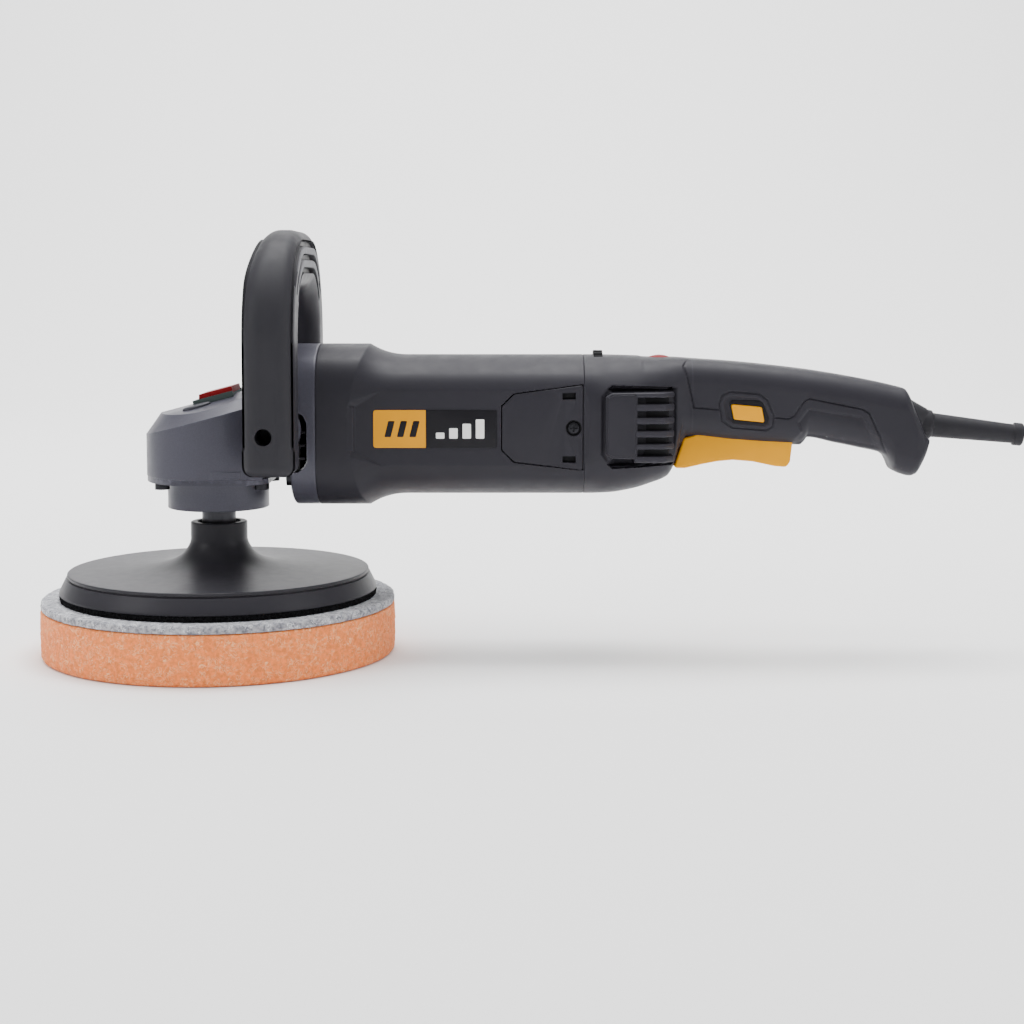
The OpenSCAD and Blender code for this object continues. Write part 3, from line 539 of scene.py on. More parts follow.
CHARCOAL = (0.0235, 0.0225, 0.0285)
LOOKS = {
    "orange_foam": foam("foam_orange", (1.0, 0.26, 0.07), (1.0, 0.56, 0.29)),
    "loop_felt": felt("felt_grey", (0.42, 0.42, 0.44), (0.95, 0.96, 1.0), (0.13, 0.135, 0.16)),
    "hook_black": hooks("hook_tape", (0.01, 0.01, 0.012)),
    "plate_plastic": turned("plate_black", (0.025, 0.024, 0.029)),
    "charcoal_plastic": moulded("plastic_charcoal", CHARCOAL, wear=0.35),
    "handle_rubber": moulded("rubber_band", (0.024, 0.0235, 0.028), rough=0.5, grain=2000, wear=0.35),
    "grey_paint": painted("paint_grey", (0.062, 0.061, 0.079)),
    "steel": metal("steel_ground", (0.2, 0.2, 0.21), 0.34, (1, 1, 6)),
    "screw_black": metal("steel_black", (0.03, 0.03, 0.034), 0.42),
    "aluminium": metal("aluminium_cast", srgb(190, 190, 192), 0.45),
    "gear_steel": metal("steel_gear", srgb(110, 110, 114), 0.35),
    "copper_wire": wound("wire_copper", srgb(176, 98, 52)),
    "copper_bars": metal("copper_bars", srgb(200, 128, 88), 0.3, (8, 1, 1)),
    "brass": metal("brass_sheet", srgb(206, 172, 96), 0.3),
    "carbon": rubber("carbon_block", srgb(34, 34, 36), 0.7),
    "white_plastic": moulded("plastic_white", srgb(222, 222, 216), 0.4),
    "yellow_plastic": moulded("plastic_yellow", (0.72, 0.31, 0.0), 0.6),
    "yellow_label": moulded("label_yellow", (0.68, 0.29, 0.004), 0.5, grain=3500),
    "dark_label": moulded("label_dark", (0.01, 0.0095, 0.012), 0.34, grain=3500),
    "red_plastic": moulded("plastic_red", (0.2, 0.002, 0.005), 0.5),
    "green_plastic": moulded("plastic_grey_green", (0.042, 0.056, 0.054), 0.5, wear=0.35),
    "blue_plastic": moulded("plastic_blue", srgb(50, 80, 130), 0.4),
    "board_green": moulded("resin_green", srgb(30, 84, 52), 0.35),
    "black_plastic": moulded("plastic_black", (0.01, 0.01, 0.012), 0.45, wear=0.35),
    "black_rubber": rubber("rubber_black", (0.02, 0.0195, 0.023), 0.55),
}
# a lighter grey for the ribs on the top grip: a painted highlight for the sheen on their rounded crests
RIB_HIGHLIGHT_LOOK = rubber("rubber_rib_painted_highlight", (0.1, 0.1, 0.112), 0.5)
NODE_LOOKS = {
    "spindle": metal("steel_oiled", (0.055, 0.055, 0.062), 0.45, (1, 1, 6)),
    "speed_dial": rubber("dial_black", (0.004, 0.004, 0.005), 0.75),
}
OVAL_LOOK = painted("paint_oval", (0.04, 0.04, 0.05))
GRAPHIC_LOOK = moulded("label_white", srgb(232, 232, 230), 0.4, grain=3500)


# ---- CAD nodes that stay: welded, edges broken, and given their own look ----

NODE_SLOT = {s["node"]: s["material_slot"] for s in frame["record"]["subparts"]}
EDGE_BREAKS = {"flange_screws": 0.4, "lock_base": 0.4, "lock_button": 0.5, "speed_dial": 0.25,
               "handle_bolts": 0.3, "grip_screws": 0.2}
CREASE = radians(32)


def dress(node, obj):
    mesh, edge = obj.data, EDGE_BREAKS.get(node)
    mesh.materials.clear()
    mesh.materials.append((NODE_LOOKS.get(node) or LOOKS[NODE_SLOT[node]]).material)
    if "custom_normal" in mesh.attributes:
        mesh.attributes.remove(mesh.attributes["custom_normal"])
    mesh.shade_smooth()
    obj.modifiers.new("weld", "WELD").merge_threshold = 1e-6
    if edge:
        bevel = obj.modifiers.new("edge", "BEVEL")
        bevel.width = edge * MM
        bevel.segments = 2
        bevel.limit_method = "ANGLE"
        bevel.angle_limit = CREASE
    else:
        mesh.set_sharp_from_angle(angle=CREASE)
    obj.modifiers.new("normals", "WEIGHTED_NORMAL").keep_sharp = True


for node in frame["nodes"]:
    dress(node, frame["nodes"][node])


# ---- pad ----

def rough_surface(amount, scale):
    """Moves each point of a lathe in or out by a little noise."""
    def ripple(rings):
        out = rings.copy()
        for point in out.reshape(-1, 3):
            r = max(hypot(point[0], point[1]), 1e-6)
            point[:2] *= 1 + amount * noise.fractal(Vector(point) * scale, 0.6, 2, 2) / r
        return out
    return ripple


def build_pad():
    """The foam, the grey loop layer on its back, and the plate's hook layer."""
    r, _, h = cad_mm("pad_foam")[1] - (0.35, 0, 0)
    side = [(r + 0.25 * sin(pi * t), 2.2 + (h - 3.4) * t) for t in np.linspace(0, 1, 20)]
    profile = (
        [(0.5, 0.05), (30, 0.05), (60, 0.05), (r - 6, 0.05)] + arc_points(r - 2.2, 2.25, 2.2, -90, 0)
        + side[1:-1] + arc_points(r - 1, h - 1.2, 1, 0, 80, 4) + [(r - 8, h), (40, h), (0.5, h)]
    )
    pad = mesh_piece("foam_pad", lathe(profile, 720, rough_surface(0.35, 0.55)), "orange_foam",
                     "pad_foam", body="spindle_set", sharp=60)

    (_, _, z0), (r, _, z1) = cad_mm("pad_felt")
    r -= 0.5
    profile = (
        [(60, z0), (r - 3, z0)] + arc_points(r - 0.9, z0 + 1, 0.9, -80, 0, 4)
        + [(r + 0.1, z0 + 1.6), (r, z0 + 2.4)] + arc_points(r - 1.3, z1 - 1.3, 1.3, 10, 90, 6)
        + [(r - 4, z1), (r - 7, z1), (60, z1)]
    )
    mesh_piece("felt_layer", lathe(profile, 720, rough_surface(0.45, 0.5)), "loop_felt",
               "pad_felt", body="spindle_set", sharp=60)

    (_, _, z0), (r, _, z1) = cad_mm("hook_layer")
    r -= 0.6
    side = [(r, z0 + (z1 - z0) * t) for t in np.linspace(0.03, 0.97, 7)]
    profile = [(9, z0), (r - 3, z0)] + side + [(r - 3, z1), (9, z1)]
    mesh_piece("hook_tape", lathe(profile, 900, rough_surface(0.9, 1.3)), "hook_black",
               "hook_layer", body="spindle_set", sharp=60)


def build_backing_plate():
    (_, _, z0), (foot_r, _, top) = cad_mm("backing_plate")
    rim_r, rim_z, hub_r, bore_r = 76, z0 + 10.3, 14.4, 8.5

    def flare(r):
        return rim_z + 100 / (r - 8.3) - 100 / (rim_r - 8.3)

    profile = [(bore_r, z0), (foot_r - 1, z0)] + arc_points(foot_r - 0.6, z0 + 0.6, 0.6, -90, 0, 3)
    profile += [(foot_r - 0.15, z0 + 1.3), (rim_r + 1.4, rim_z - 3), (rim_r + 1.15, rim_z - 2.5),
                (rim_r - 0.2, rim_z - 2.2), (rim_r - 0.3, rim_z - 1.8), (rim_r + 0.35, rim_z - 1.5)]
    profile += arc_points(rim_r - 0.15, rim_z - 0.6, 0.6, -20, 90, 5)
    profile += [(r, flare(r)) for r in np.geomspace(rim_r - 1.2, hub_r + 0.4, 46)]
    profile += [(hub_r, flare(hub_r + 0.3) + 1.5), (hub_r, top - 2.5)]
    profile += arc_points(hub_r - 0.7, top - 0.7, 0.7, 0, 90, 4)
    profile += arc_points(11.5, top - 0.5, 0.5, 90, 180, 3) + [(11, top - 3), (bore_r, top - 3.4)]
    mesh_piece("backing_plate_visual", lathe(profile, 320), "plate_plastic", "backing_plate",
               body="spindle_set", sharp=40)


# ---- front handle ----

BAR_X = SHELL_HI[0] - FRONT_X
BAR_T, END_R = 29, 5
LOOP_R = 54.5
LOOP_HALF, LOOP_TOP = LOOP_HI[1:]
CORNER_Y, CORNER_Z = LOOP_HALF - LOOP_R, LOOP_TOP - LOOP_R
BAND_DEPTH = 5.3


def loop_path(z0):
    """Stations along the loop: outer point (y, z), inward direction (y, z)."""
    out = [((-LOOP_HALF, z), (1, 0)) for z in np.linspace(z0, CORNER_Z, int(CORNER_Z - z0), endpoint=False)]
    for a in np.radians(np.linspace(180, 90, 110, endpoint=False)):
        c, s = cos(a), sin(a)
        out.append(((-CORNER_Y + LOOP_R * c, CORNER_Z + LOOP_R * s), (-c, -s)))
    out += [((y, LOOP_TOP), (0, -1)) for y in np.linspace(-CORNER_Y, 0, 20, endpoint=False)]
    return out + [((0, LOOP_TOP), (0, -1))] + across(out)


def across(stations):
    """The same stations on the far side, in reverse order."""
    return [((-y, z), (-ny, nz)) for (y, z), (ny, nz) in reversed(stations)]


def bar_outline(z):
    """The bar's section at height z: distance behind the front face, depth below the outer one."""
    low = max(END_R - (z - SHELL_LO[2]), 0)
    inset = END_R - sqrt(max(END_R * END_R - low * low, 0))
    w, t = BAR_X - 2 * inset, BAR_T - 2 * inset
    front = 9 + 2 * ease((z - 165) / 45)
    pts = []
    for su, sv, a, radius in ((1, -1, -90, 9), (1, 1, 0, 9), (-1, 1, 90, 9), (-1, -1, 180, front)):
        r = max(radius - inset, 0.5)
        pts += arc_points(su * (w / 2 - r), sv * (t / 2 - r), r, a, a + 90, 14)
    return resample(np.array(pts) + (BAR_X / 2, BAR_T / 2), count=180)


def sweep(stations, section):
    """Rings of a section (u, v), which depends on its place, carried along the loop."""
    rings = []
    for (y, z), (ny, nz) in stations:
        u, v = section(y, z).T
        lean = 5 * ease((z + nz * v - 187) / 34) * np.clip(1 - u / BAR_X, 0, 1)
        rings.append(np.column_stack([FRONT_X + u + lean, y + ny * v, z + nz * v]))
    return closed_rings(rings)


GRIP_GROOVES = (6.8, 13.4, 20)
BOLT_X, BOLT_Z = 33, 116


def shell_section(side):
    """Half of the bar's section, front (-1) or rear (+1), below the outer band."""
    def section(y, z):
        dense = bar_outline(z)
        u, v = dense.T.copy()
        middle = BAR_X / 2
        v = np.maximum(v, BAND_DEPTH)
        u = np.maximum(u, middle + 0.02) if side > 0 else np.minimum(u, middle - 0.02)
        near = np.abs(dense[:, 0] - middle)
        v = np.where((near < 0.35) & (dense[:, 1] > BAR_T / 2), v - (0.35 - near) * 1.6, v)
        if side > 0:
            high = ease((z - 190) / 6)
            for d in GRIP_GROOVES:
                cut = ease((1.5 - np.abs(v - d)) / 0.4) * high * 3.6
                u = np.where(dense[:, 0] > BAR_X - 4, u - cut, u)
        return np.column_stack([u, v])
    return section


def band_section(y, z):
    u, v = bar_outline(z).T
    # above its lower end the band's edges turn under, which leaves a seam groove
    open_seam = ease((z - LOOP_LO[2]) / 1.5)
    v = np.minimum(v, BAND_DEPTH - 0.02 - 0.5 * open_seam)
    edge = ease((v - (BAND_DEPTH - 1.9)) / 1.2) * open_seam
    u = BAR_X / 2 + (u - BAR_X / 2) * (1 - 0.035 * edge)
    return np.column_stack([u, v])


def build_front_handle():
    low = [((-LOOP_HALF, SHELL_LO[2] + h), (1, 0)) for h in (0.02, 0.15, 0.4, 0.8, 1.5, 2.4, 3.6, 5)]
    stations = low + [s for s in loop_path(SHELL_LO[2]) if s[0][1] > SHELL_LO[2] + 5.5] + across(low)
    bolts = [drill(BOLT_X, BOLT_Z, 4.1, side * 80, side * 52.2) for side in (-1, 1)]
    for name, section, slot, node in (
        ("handle_shell_front", shell_section(-1), "charcoal_plastic", "handle_front_shell"),
        ("handle_shell_rear", shell_section(1), "charcoal_plastic", "handle_rear_shell"),
        ("handle_grip_band", band_section, "handle_rubber", "handle_band"),
    ):
        mesh_piece(name, sweep(stations, section), slot, node, sharp=50, cuts=bolts)

    top = [s for s in stations if s[0][1] > 199]
    ends = np.array([s[0] for s in top])
    run = np.concatenate([[0], np.cumsum(np.linalg.norm(np.diff(ends, axis=0), axis=1))])

    def strips(spans, foot, height):
        """Bars along the rear face of the top, from foot to foot + height."""
        parts = []
        for v0, v1 in spans:
            places = iter(run)

            def strip(y, z):
                s = next(places)
                u = foot + height * ease(min(s, run[-1] - s) / 2.5)
                return np.array(arc_points(u - 0.3, v0 + 0.3, 0.3, -90, 0, 4)
                                + arc_points(u - 0.3, v1 - 0.3, 0.3, 0, 90, 4)
                                + [(foot - 0.6, v1), (foot - 0.6, v0)])
            parts.append(sweep(top, strip))
        return join(*parts)

    ribs = strips(((8.5, 11.7), (15.1, 18.3)), BAR_X - 2.7, 2.9)
    # the ribs take the lighter rib look, a painted highlight
    mesh_piece("handle_ribs", ribs, "handle_rubber", look=RIB_HIGHLIGHT_LOOK, sharp=50)
    # black strips at the bottoms of the three grip grooves: painted shade in the grooves
    slots = strips([(d - 1.7, d + 1.7) for d in GRIP_GROOVES], BAR_X - 4.2, 1.1)
    mesh_piece("handle_groove_shade", slots, "black_plastic", sharp=50)


# ---- motor housing ----

PANEL_Y, COVER_Y = 28, 24
PANEL = [(72.6, 105.3), (91, 95.1), (189, 95.1), (189, 139), (91, 139), (72.6, 127.6)]
COVER = [(145.1, 106), (151.4, 99.7), (185.9, 95.7), (185.9, 138.5), (151.4, 134), (145.1, 127.7)]
COVER_SCREW = (181.1, 116.9)
RIM_R = 0.45  # the rounding of the housings' open ends
BISECTIONS = 34


def ring_radius(distance, angles):
    """Radius at each angle where a section's distance becomes 0."""
    lo, hi = np.zeros_like(angles), np.full_like(angles, 90)
    for _ in range(BISECTIONS):
        mid = (lo + hi) / 2
        out = distance(mid * np.cos(angles), mid * np.sin(angles)) > 0
        lo, hi = np.where(out, lo, mid), np.where(out, mid, hi)
    return (lo + hi) / 2


def flat_ring(r, half, soft):
    """Radii of a circle with flat sides at half, the edges between rounded over soft."""
    def distance(y, z):
        a, b = np.hypot(y, z) - r, np.abs(y) - half
        h = np.maximum(soft - np.abs(a - b), 0) / soft
        return np.maximum(a, b) + h * h * soft / 4
    return ring_radius(distance, RING_ANGLES)


def end_round(x, x0, x1, r):
    """How far a skin pulls in beside its two ends."""
    t = np.clip(1 - np.minimum(x - x0, x1 - x) / r, 0, 1)
    return r * (1 - np.sqrt(1 - t * t))


RING_ANGLES = np.linspace(0, 2 * pi, 520, endpoint=False)
BARREL_RING = flat_ring(35.5, 29.2, 6)
FRONT_RING = flat_ring(41, 30.5, 8.5)


def motor_relief(x, y, z):
    """Pulls the side faces in where the panels and the brush covers are."""
    side, half = np.sign(y), np.abs(y)
    d = np.maximum(polygon_distance(x, z, PANEL), 0)
    low_facet = np.minimum(line_distance(x, z, PANEL[:2]), line_distance(x, z, PANEL[-2:])) < d + 0.01
    rise = np.where(low_facet, d * 0.75, d * 2.2)
    half = np.where(np.abs(z - MOTOR_Z) < 27, np.minimum(half, PANEL_Y + rise), half)
    half = np.where(inside(x, z, COVER), np.minimum(half, COVER_Y), half)
    return side * half


def build_motor_housing():
    x0, x1 = MOTOR_LO[0], MOTOR_HI[0]
    xs = np.unique(np.r_[x0, x0 + 0.1, x0 + 0.25, x0 + 0.5:x1 - 0.3:0.5, x1 - 0.25, x1 - 0.1, x1])
    x = xs[:, None] + 0 * RING_ANGLES
    start = 68.4 + 10 * np.abs(np.sin(RING_ANGLES)) ** 2.2
    u = np.clip((x - start) / 20, 0, 1)
    blend = 1 - (1 - u) ** 2.3
    r = FRONT_RING + (BARREL_RING - FRONT_RING) * blend - end_round(x, x0, x1, RIM_R)
    z = MOTOR_Z + r * np.sin(RING_ANGLES)
    y = motor_relief(x, r * np.cos(RING_ANGLES), z)
    mesh_piece("motor_casing", hollow_rings(x, y, z), "charcoal_plastic", "motor_housing", sharp=60)


def build_brush_covers():
    """The covers over the carbon brushes, with their two slots and their screws."""
    x, z = COVER_SCREW
    slots = [[(175.5, 131), (182.1, 131.2), (182.1, 134.5), (175.5, 134.3)],
             [(175.5, 99.7), (182.1, 99.5), (182.1, 102.9), (175.5, 102.9)]]
    cuts = [drill(x, z, 4, -40, -25.6)] + [prism(o, -40, -24.6, 0.05) for o in slots]
    outline = round_corners(offset_outline(COVER, 0.45), 0.8)
    mesh_piece("brush_covers_visual", pair(prism(outline, -22.8, -PANEL_Y - 0.15, 0.35, 1, both=False)),
               "charcoal_plastic", "brush_covers", cuts=cuts + [mirrored(c) for c in cuts])
    # black inserts down in the two slots and a black disc in the screw's recess: painted shade in the slots
    # and round the screw head
    dark = [prism(offset_outline(o, 0.1), -23.5, -24.95, 0.05) for o in slots]
    mesh_piece("brush_cover_painted_shade", pair(join(drill(x, z, 3.95, -23.5, -25.9), *dark)), "black_plastic")
    head = [(0.3, 0), (3.1, 0), (3.1, 0.9), (2.8, 1.3), (2.1, 1.5), (0.3, 1.55)]
    cross = [prism([(x - u, z - w), (x + u, z - w), (x + u, z + w), (x - u, z + w)], -30, -26.4, 0.05)
             for u, w in ((2, 0.42), (0.42, 2))]
    mesh_piece("brush_cover_screws_visual", pair(lathe_y([(r, -25.7 - h) for r, h in head], 64, x, z)),
               "screw_black", "brush_cover_screws", cuts=cross + [mirrored(c) for c in cross])


def add_marks(name, outlines, radius, y, slot, look=None):
    """Plain printed shapes, standing a hair proud of the plates at -y and y."""
    marks = [prism(round_corners(o, radius, 3), y + 0.1, y - 0.05, 0.04, 0.5, both=False) for o in outlines]
    mesh_piece(name, pair(join(*marks)), slot, look=look)


def build_side_plates():
    """The two plates on each side: a yellow one with rounded front corners, and a dark one."""
    for name, node, slot, r in (("plate_yellow", "side_plate_yellow", "yellow_label", 1.6),
                                ("plate_dark", "side_plate_dark", "dark_label", 0.3)):
        (x0, y0, z0), (x1, _, z1) = cad_mm(node)
        outline = round_corners([(x0, z0), (x1, z0), (x1, z1), (x0, z1)], [r, 0.3, 0.3, r])
        mesh_piece(name, pair(prism(outline, -PANEL_Y + 0.05, y0, 0.12, 0.5, both=False)), slot, node)
    # plain bars in place of the printed marks
    lo, hi = cad_mm("side_plate_yellow")
    z0, z1 = lo[2] + 5.4, hi[2] - 5.4
    add_marks("plate_bars", [[(x, z0), (x + 3.2, z0), (x + 5.2, z1), (x + 2, z1)]
                             for x in lo[0] + 5.5 + 6.2 * np.arange(3)], 0.3, lo[1], "dark_label")
    lo, hi = cad_mm("side_plate_dark")
    x0, z0 = lo[0] + 5, lo[2] + 4.6
    steps = [(x0 + 6.6 * k, z0 + 3 + 2.2 * k) for k in range(4)]
    add_marks("plate_scale", [[(x, z0), (x + 4.2, z0), (x + 4.2, z1), (x, z1)] for x, z1 in steps],
              0.4, lo[1], "white_plastic", GRAPHIC_LOOK)


# ---- rear housing and rear handle: one skin in two pieces ----

TOP_LINE = [(186.5, 152.5), (200, 152.3), (217, 151.7), (234, 151), (242, 150.4),
            (262, 149), (297, 145.3), (327, 140.5), (346, 136.4), (349.4, 135.4), (351.3, 133),
            (353.9, 126.5), (357, 119), (360.2, 111.2), (361.4, 109.8)]
LOW_LINE = [(186.5, 81.5), (199.6, 82.1), (211.3, 84.2), (220.7, 87.2), (228.9, 90.7), (231.9, 95),
            (234.1, 102.5), (236.3, 110.3), (241, 110.8), (262, 108.8), (296.4, 106.8), (298, 108),
            (300.2, 110.6), (314, 107.9), (327, 105.2), (336.8, 103), (340.5, 100.8), (342.6, 97.4),
            (344.2, 93.8), (347, 92.2), (352.5, 90.9), (355.2, 91.8), (357.6, 95.6), (360, 102),
            (361.4, 108.2)]
WIDTH_LINE = [(186.5, 30), (200, 30.4), (211, 29.8), (221, 26), (233, 20.8), (241, 18.5), (262, 18.5),
              (297, 18), (327, 17), (344, 16.5), (354, 16), (358, 15), (361.4, 13)]
CORNER_LINE = [(186.5, 29), (200, 28), (211, 26), (221, 21), (233, 15), (241, 12), (340, 12),
               (354, 10), (358, 8), (361.4, 1.3)]
SEAM_FRONT = [(240.4, 152), (236.5, 146.8), (238, 142.3), (241.6, 126.3), (255.6, 125.2)]
SEAM_REAR = [(280.8, 121.4), (288.9, 120.7), (291.8, 121.9), (296.8, 129.2), (299.4, 130.9),
             (326.5, 125.4), (329.9, 123.2), (338.2, 106.1), (342, 99)]
RECESS = [(296, 106), (296.9, 114.1), (294.9, 118.6), (299.5, 124.9), (325.5, 120.7), (333.4, 107),
          (335, 98), (300, 98)]
BUTTON = [(261.7, 120.5), (277.1, 118.9), (275.6, 126.7), (260.2, 128.1)]
WELL_Y = 14.4
BUTTON_FRAME = [(261.3, 118.3), (277.8, 116.4), (280.2, 118.4), (279, 126.9), (276.4, 129.8),
                (259.3, 130.3)]
BEZEL = [(254.3, 128.4), (255.9, 132.6), (259.8, 134.3), (274.2, 133.2), (278.3, 130.4), (281.8, 121.6),
         (281.2, 117.2), (278.3, 115), (260.9, 116.4), (255.8, 119.9)]
MOAT = [(194.4, 132.5), (197.9, 136.7), (200.1, 138.2), (233, 137.1), (233, 97.8), (200.3, 96.3),
        (197.8, 98.6), (194.2, 103.6)]
WEDGE_TOP = [(197.6, 136.1), (200.2, 138), (231.2, 137.1), (231.2, 135), (200.4, 134.3)]
WEDGE_LOW = [(197.6, 98.8), (200.4, 96.4), (231.5, 97.8), (231.5, 100.2), (200.4, 101.9)]


def rear_skin(xs):
    """The smooth skin at each X: the motor barrel, easing into a rounded box."""
    x = xs[:, None] + 0 * RING_ANGLES
    top, low, half, corner = (smooth_values(x, t) for t in (TOP_LINE, LOW_LINE, WIDTH_LINE, CORNER_LINE))
    mid, tall = (top + low) / 2, (top - low) / 2
    corner = np.minimum(corner, np.minimum(half, tall) - 0.05)

    def distance(y, z):
        qy, qz = np.abs(y) - half + corner, np.abs(z) - tall + corner
        return np.hypot(np.maximum(qy, 0), np.maximum(qz, 0)) + np.minimum(np.maximum(qy, qz), 0) - corner

    t = ease((x - REAR_LO[0]) / 12)
    r = BARREL_RING * (1 - t) + ring_radius(distance, RING_ANGLES + 0 * x) * t
    z = MOTOR_Z + (mid - MOTOR_Z) * t + r * np.sin(RING_ANGLES)
    ledge = 0.4 * ease((x - 214.5) / 2.5) * ease((234 - x) / 12) * ease((z - 143) / 6)
    return x, r * np.cos(RING_ANGLES), z - ledge


def rear_relief(x, y, z):
    """Seams, the bezel with the button's well, the recessed lower grip and the inlets."""
    side, half = np.sign(y), np.abs(y)
    flat = ease((half - 9) / 4)
    deep = groove(np.minimum(line_distance(x, z, SEAM_FRONT), line_distance(x, z, SEAM_REAR)), 1.1, 0.8)
    recess = polygon_distance(x, z, RECESS)
    slope = ease(1 - recess / (1.6 + 3 * ease((115 - z) / 6)))
    deep = deep + (1.3 * slope + groove(recess, 1, 0.35)) * (x > 290)
    bezel = polygon_distance(x, z, BEZEL)
    near = (y < 0) & (x > 250) & (x < 290)
    deep = np.where(near, np.maximum(deep * (bezel > 0), groove(np.abs(bezel), 1.4, 0.8)), deep)
    deep = np.where(near, deep + 1.2 * ease((-bezel - 1.6) / 1.6), deep)
    half = half - deep * flat
    # the well that the lock-on button sinks into
    well = (y < 0) & (polygon_distance(x, z, BUTTON) < 0.3)
    half = np.where(well, np.minimum(half, WELL_Y), half)
    # the side panel of the motor housing runs out into this skin
    panel = (np.abs(z - MOTOR_Z) < 22) & (x < 191)
    panel_y = PANEL_Y + 0.1 + ease((x - REAR_LO[0]) / 4.5) * 2.5
    half = np.where(panel, np.minimum(half, panel_y), half)
    moat = polygon_distance(x, z, MOAT)
    wedge = np.minimum(polygon_distance(x, z, WEDGE_TOP), polygon_distance(x, z, WEDGE_LOW))
    sunk = 1.6 * ease(-moat / 1.8) + 5 * ease(-wedge / 0.9)
    return side * (half - sunk * (x < 233))


def build_rear_housing():
    x0, x1 = REAR_LO[0], REAR_HI[0]
    xs = np.unique(np.r_[x0, x0 + 0.1, x0 + 0.25, x0 + 0.5:x1 - 0.2:0.5, x1])
    x, y, z = rear_skin(xs)
    shrink = 1 - np.where(x - x0 < RIM_R, end_round(x, x0, x1 + 9, RIM_R), 0) / 36
    y = rear_relief(x, y * shrink, z)
    z = MOTOR_Z + (z - MOTOR_Z) * shrink
    mesh_piece("rear_casing", hollow_rings(x, y, z), "charcoal_plastic", "rear_housing", sharp=60)


def build_rear_handle():
    (x0, _, _), (x1, _, _) = cad_mm("grip_shell_left")
    x, y, z = rear_skin(np.unique(np.r_[x0:340:0.5, 340:x1 - 0.2:0.3]))
    mesh_piece("rear_handle", hollow_rings(x, rear_relief(x, y, z), z, 2.2, cap_end=True),
               "charcoal_plastic", "grip_shell_left", "grip_shell_right", sharp=60)


def build_small_parts():
    """The lock-on button in its frame, the trigger and its pin, and the cone beside the cord sleeve."""
    part = prism(round_corners(BUTTON_FRAME, 2), -14.5, -17.7, 0.4, 0.5, both=False)
    well = prism(round_corners(offset_outline(BUTTON, -0.35), 1), -10, -25, 0.05)
    mesh_piece("button_frame", part, "black_plastic", cuts=[well])
    face = cad_mm("lock_on_button")[0][1]
    cap = prism(round_corners(BUTTON, 1, 5), -12.5, face, 0.5, 0.5, both=False)
    mesh_piece("button_cap", cap, "yellow_plastic", "lock_on_button", body="lock_on_button")

    finger = [(232.2, 95.2), (238.1, 95.2), (247.1, 97.3), (254.5, 98.7), (262, 99.4), (272, 98.6),
              (283.4, 96.2), (289.4, 95.7), (291.2, 98.4)]
    top = [(292.4, 109), (285, 112.7), (246, 114.8), (242.2, 111.9), (237.2, 110.6)]
    outline = round_corners(finger + top, [1.6, 5, 9, 9, 9, 9, 5, 2.4, 2, 1.6, 2, 2, 2, 2])
    half = cad_mm("trigger")[1][1]
    mesh_piece("trigger_lever", prism(outline, half, -half, 1.1, 0.5), "yellow_plastic", "trigger",
               body="trigger")

    lo, hi = cad_mm("trigger_pin")
    (x, _, z), r, y = (lo + hi) / 2, (hi[2] - lo[2]) / 2, 11.4
    pin = lathe_y([(0.3, -y), (r - 0.4, -y), (r, 0.4 - y), (r, y - 0.4), (r - 0.4, y), (0.3, y)], 48, x, z)
    mesh_piece("trigger_pin_visual", pin, NODE_SLOT["trigger_pin"], "trigger_pin")

    axis_z = 118.7
    verts, faces = lathe([(0.3, 352), (11.4, 352), (11.6, 352.8), (9.2, 356.8), (6.6, 361.4), (6.2, 362.2),
                          (5.6, 362.6), (0.3, 362.6)], 96)
    mesh_piece("cord_collar", (verts[:, [2, 0, 1]] + (0, 0, axis_z), faces), "black_rubber", sharp=30)


BLOCK = [(196.9, 103.7), (200.2, 102), (212.5, 101.9), (212.5, 134.5), (200.1, 134.4), (196.9, 132.5)]
BARS = [(99.9, 103), (106.5, 109.2), (112.5, 115.7), (119.1, 122.3), (125.6, 129), (132.3, 134.6)]


def build_grilles():
    """Each air inlet: a flat block, and louvre bars over a black plate behind them, which is painted shade in
    the opening.
    """
    face, foot = 32.4, 18
    inner = round_corners(offset_outline(BLOCK, 1.2), 1)
    parts = [prism(round_corners(BLOCK, 0.8), -24, -face, 0.7, 0.6, both=False),
             prism(inner, -30, -face - 0.35, 0.3, 0.6, both=False)]
    for z0, z1 in BARS:
        # the bars bend in at their rear ends
        v, f = slat(211, 231.2, -face, -foot, z0, z1, 1)
        v[:, 1] += np.maximum(v[:, 0] - 225.2, 0) * 1.15 * np.clip((-foot - v[:, 1]) / (face - foot), 0, 1)
        parts.append((v, f))
    mesh_piece("inlet_louvres", pair(join(*parts)), "charcoal_plastic", "inlet_grilles", sharp=50)
    # the black plate behind the louvres is painted shade inside the opening
    back = prism([(205, 101.5), (228.5, 101.5), (228.5, 133.5), (205, 133.5)], -20, -26.2, 0.2)
    mesh_piece("inlet_painted_shade", pair(back), "black_plastic")


# ---- gear case ----

ROOF_SLOPE = tan(radians(14.7))


def roof(x, y):
    """Height of the crowned top of the gear case."""
    return 130.4 + ROOF_SLOPE * x - 0.0053 * y * y


def case_plan(inset):
    """Plan of the gear case, from the rear round the front and back, pulled in by inset."""
    r, half, back = 36 - inset, 30.5 - inset, 38.5
    turn = asin(half / r)
    pts = [(x, -half) for x in np.linspace(back, r * cos(turn), 30, endpoint=False)]
    pts += [(r * cos(a), r * sin(a)) for a in np.linspace(-turn, turn - 2 * pi, 150)]
    return np.array(pts + [(x, half) for x in np.linspace(r * cos(turn), back, 31)[1:]])


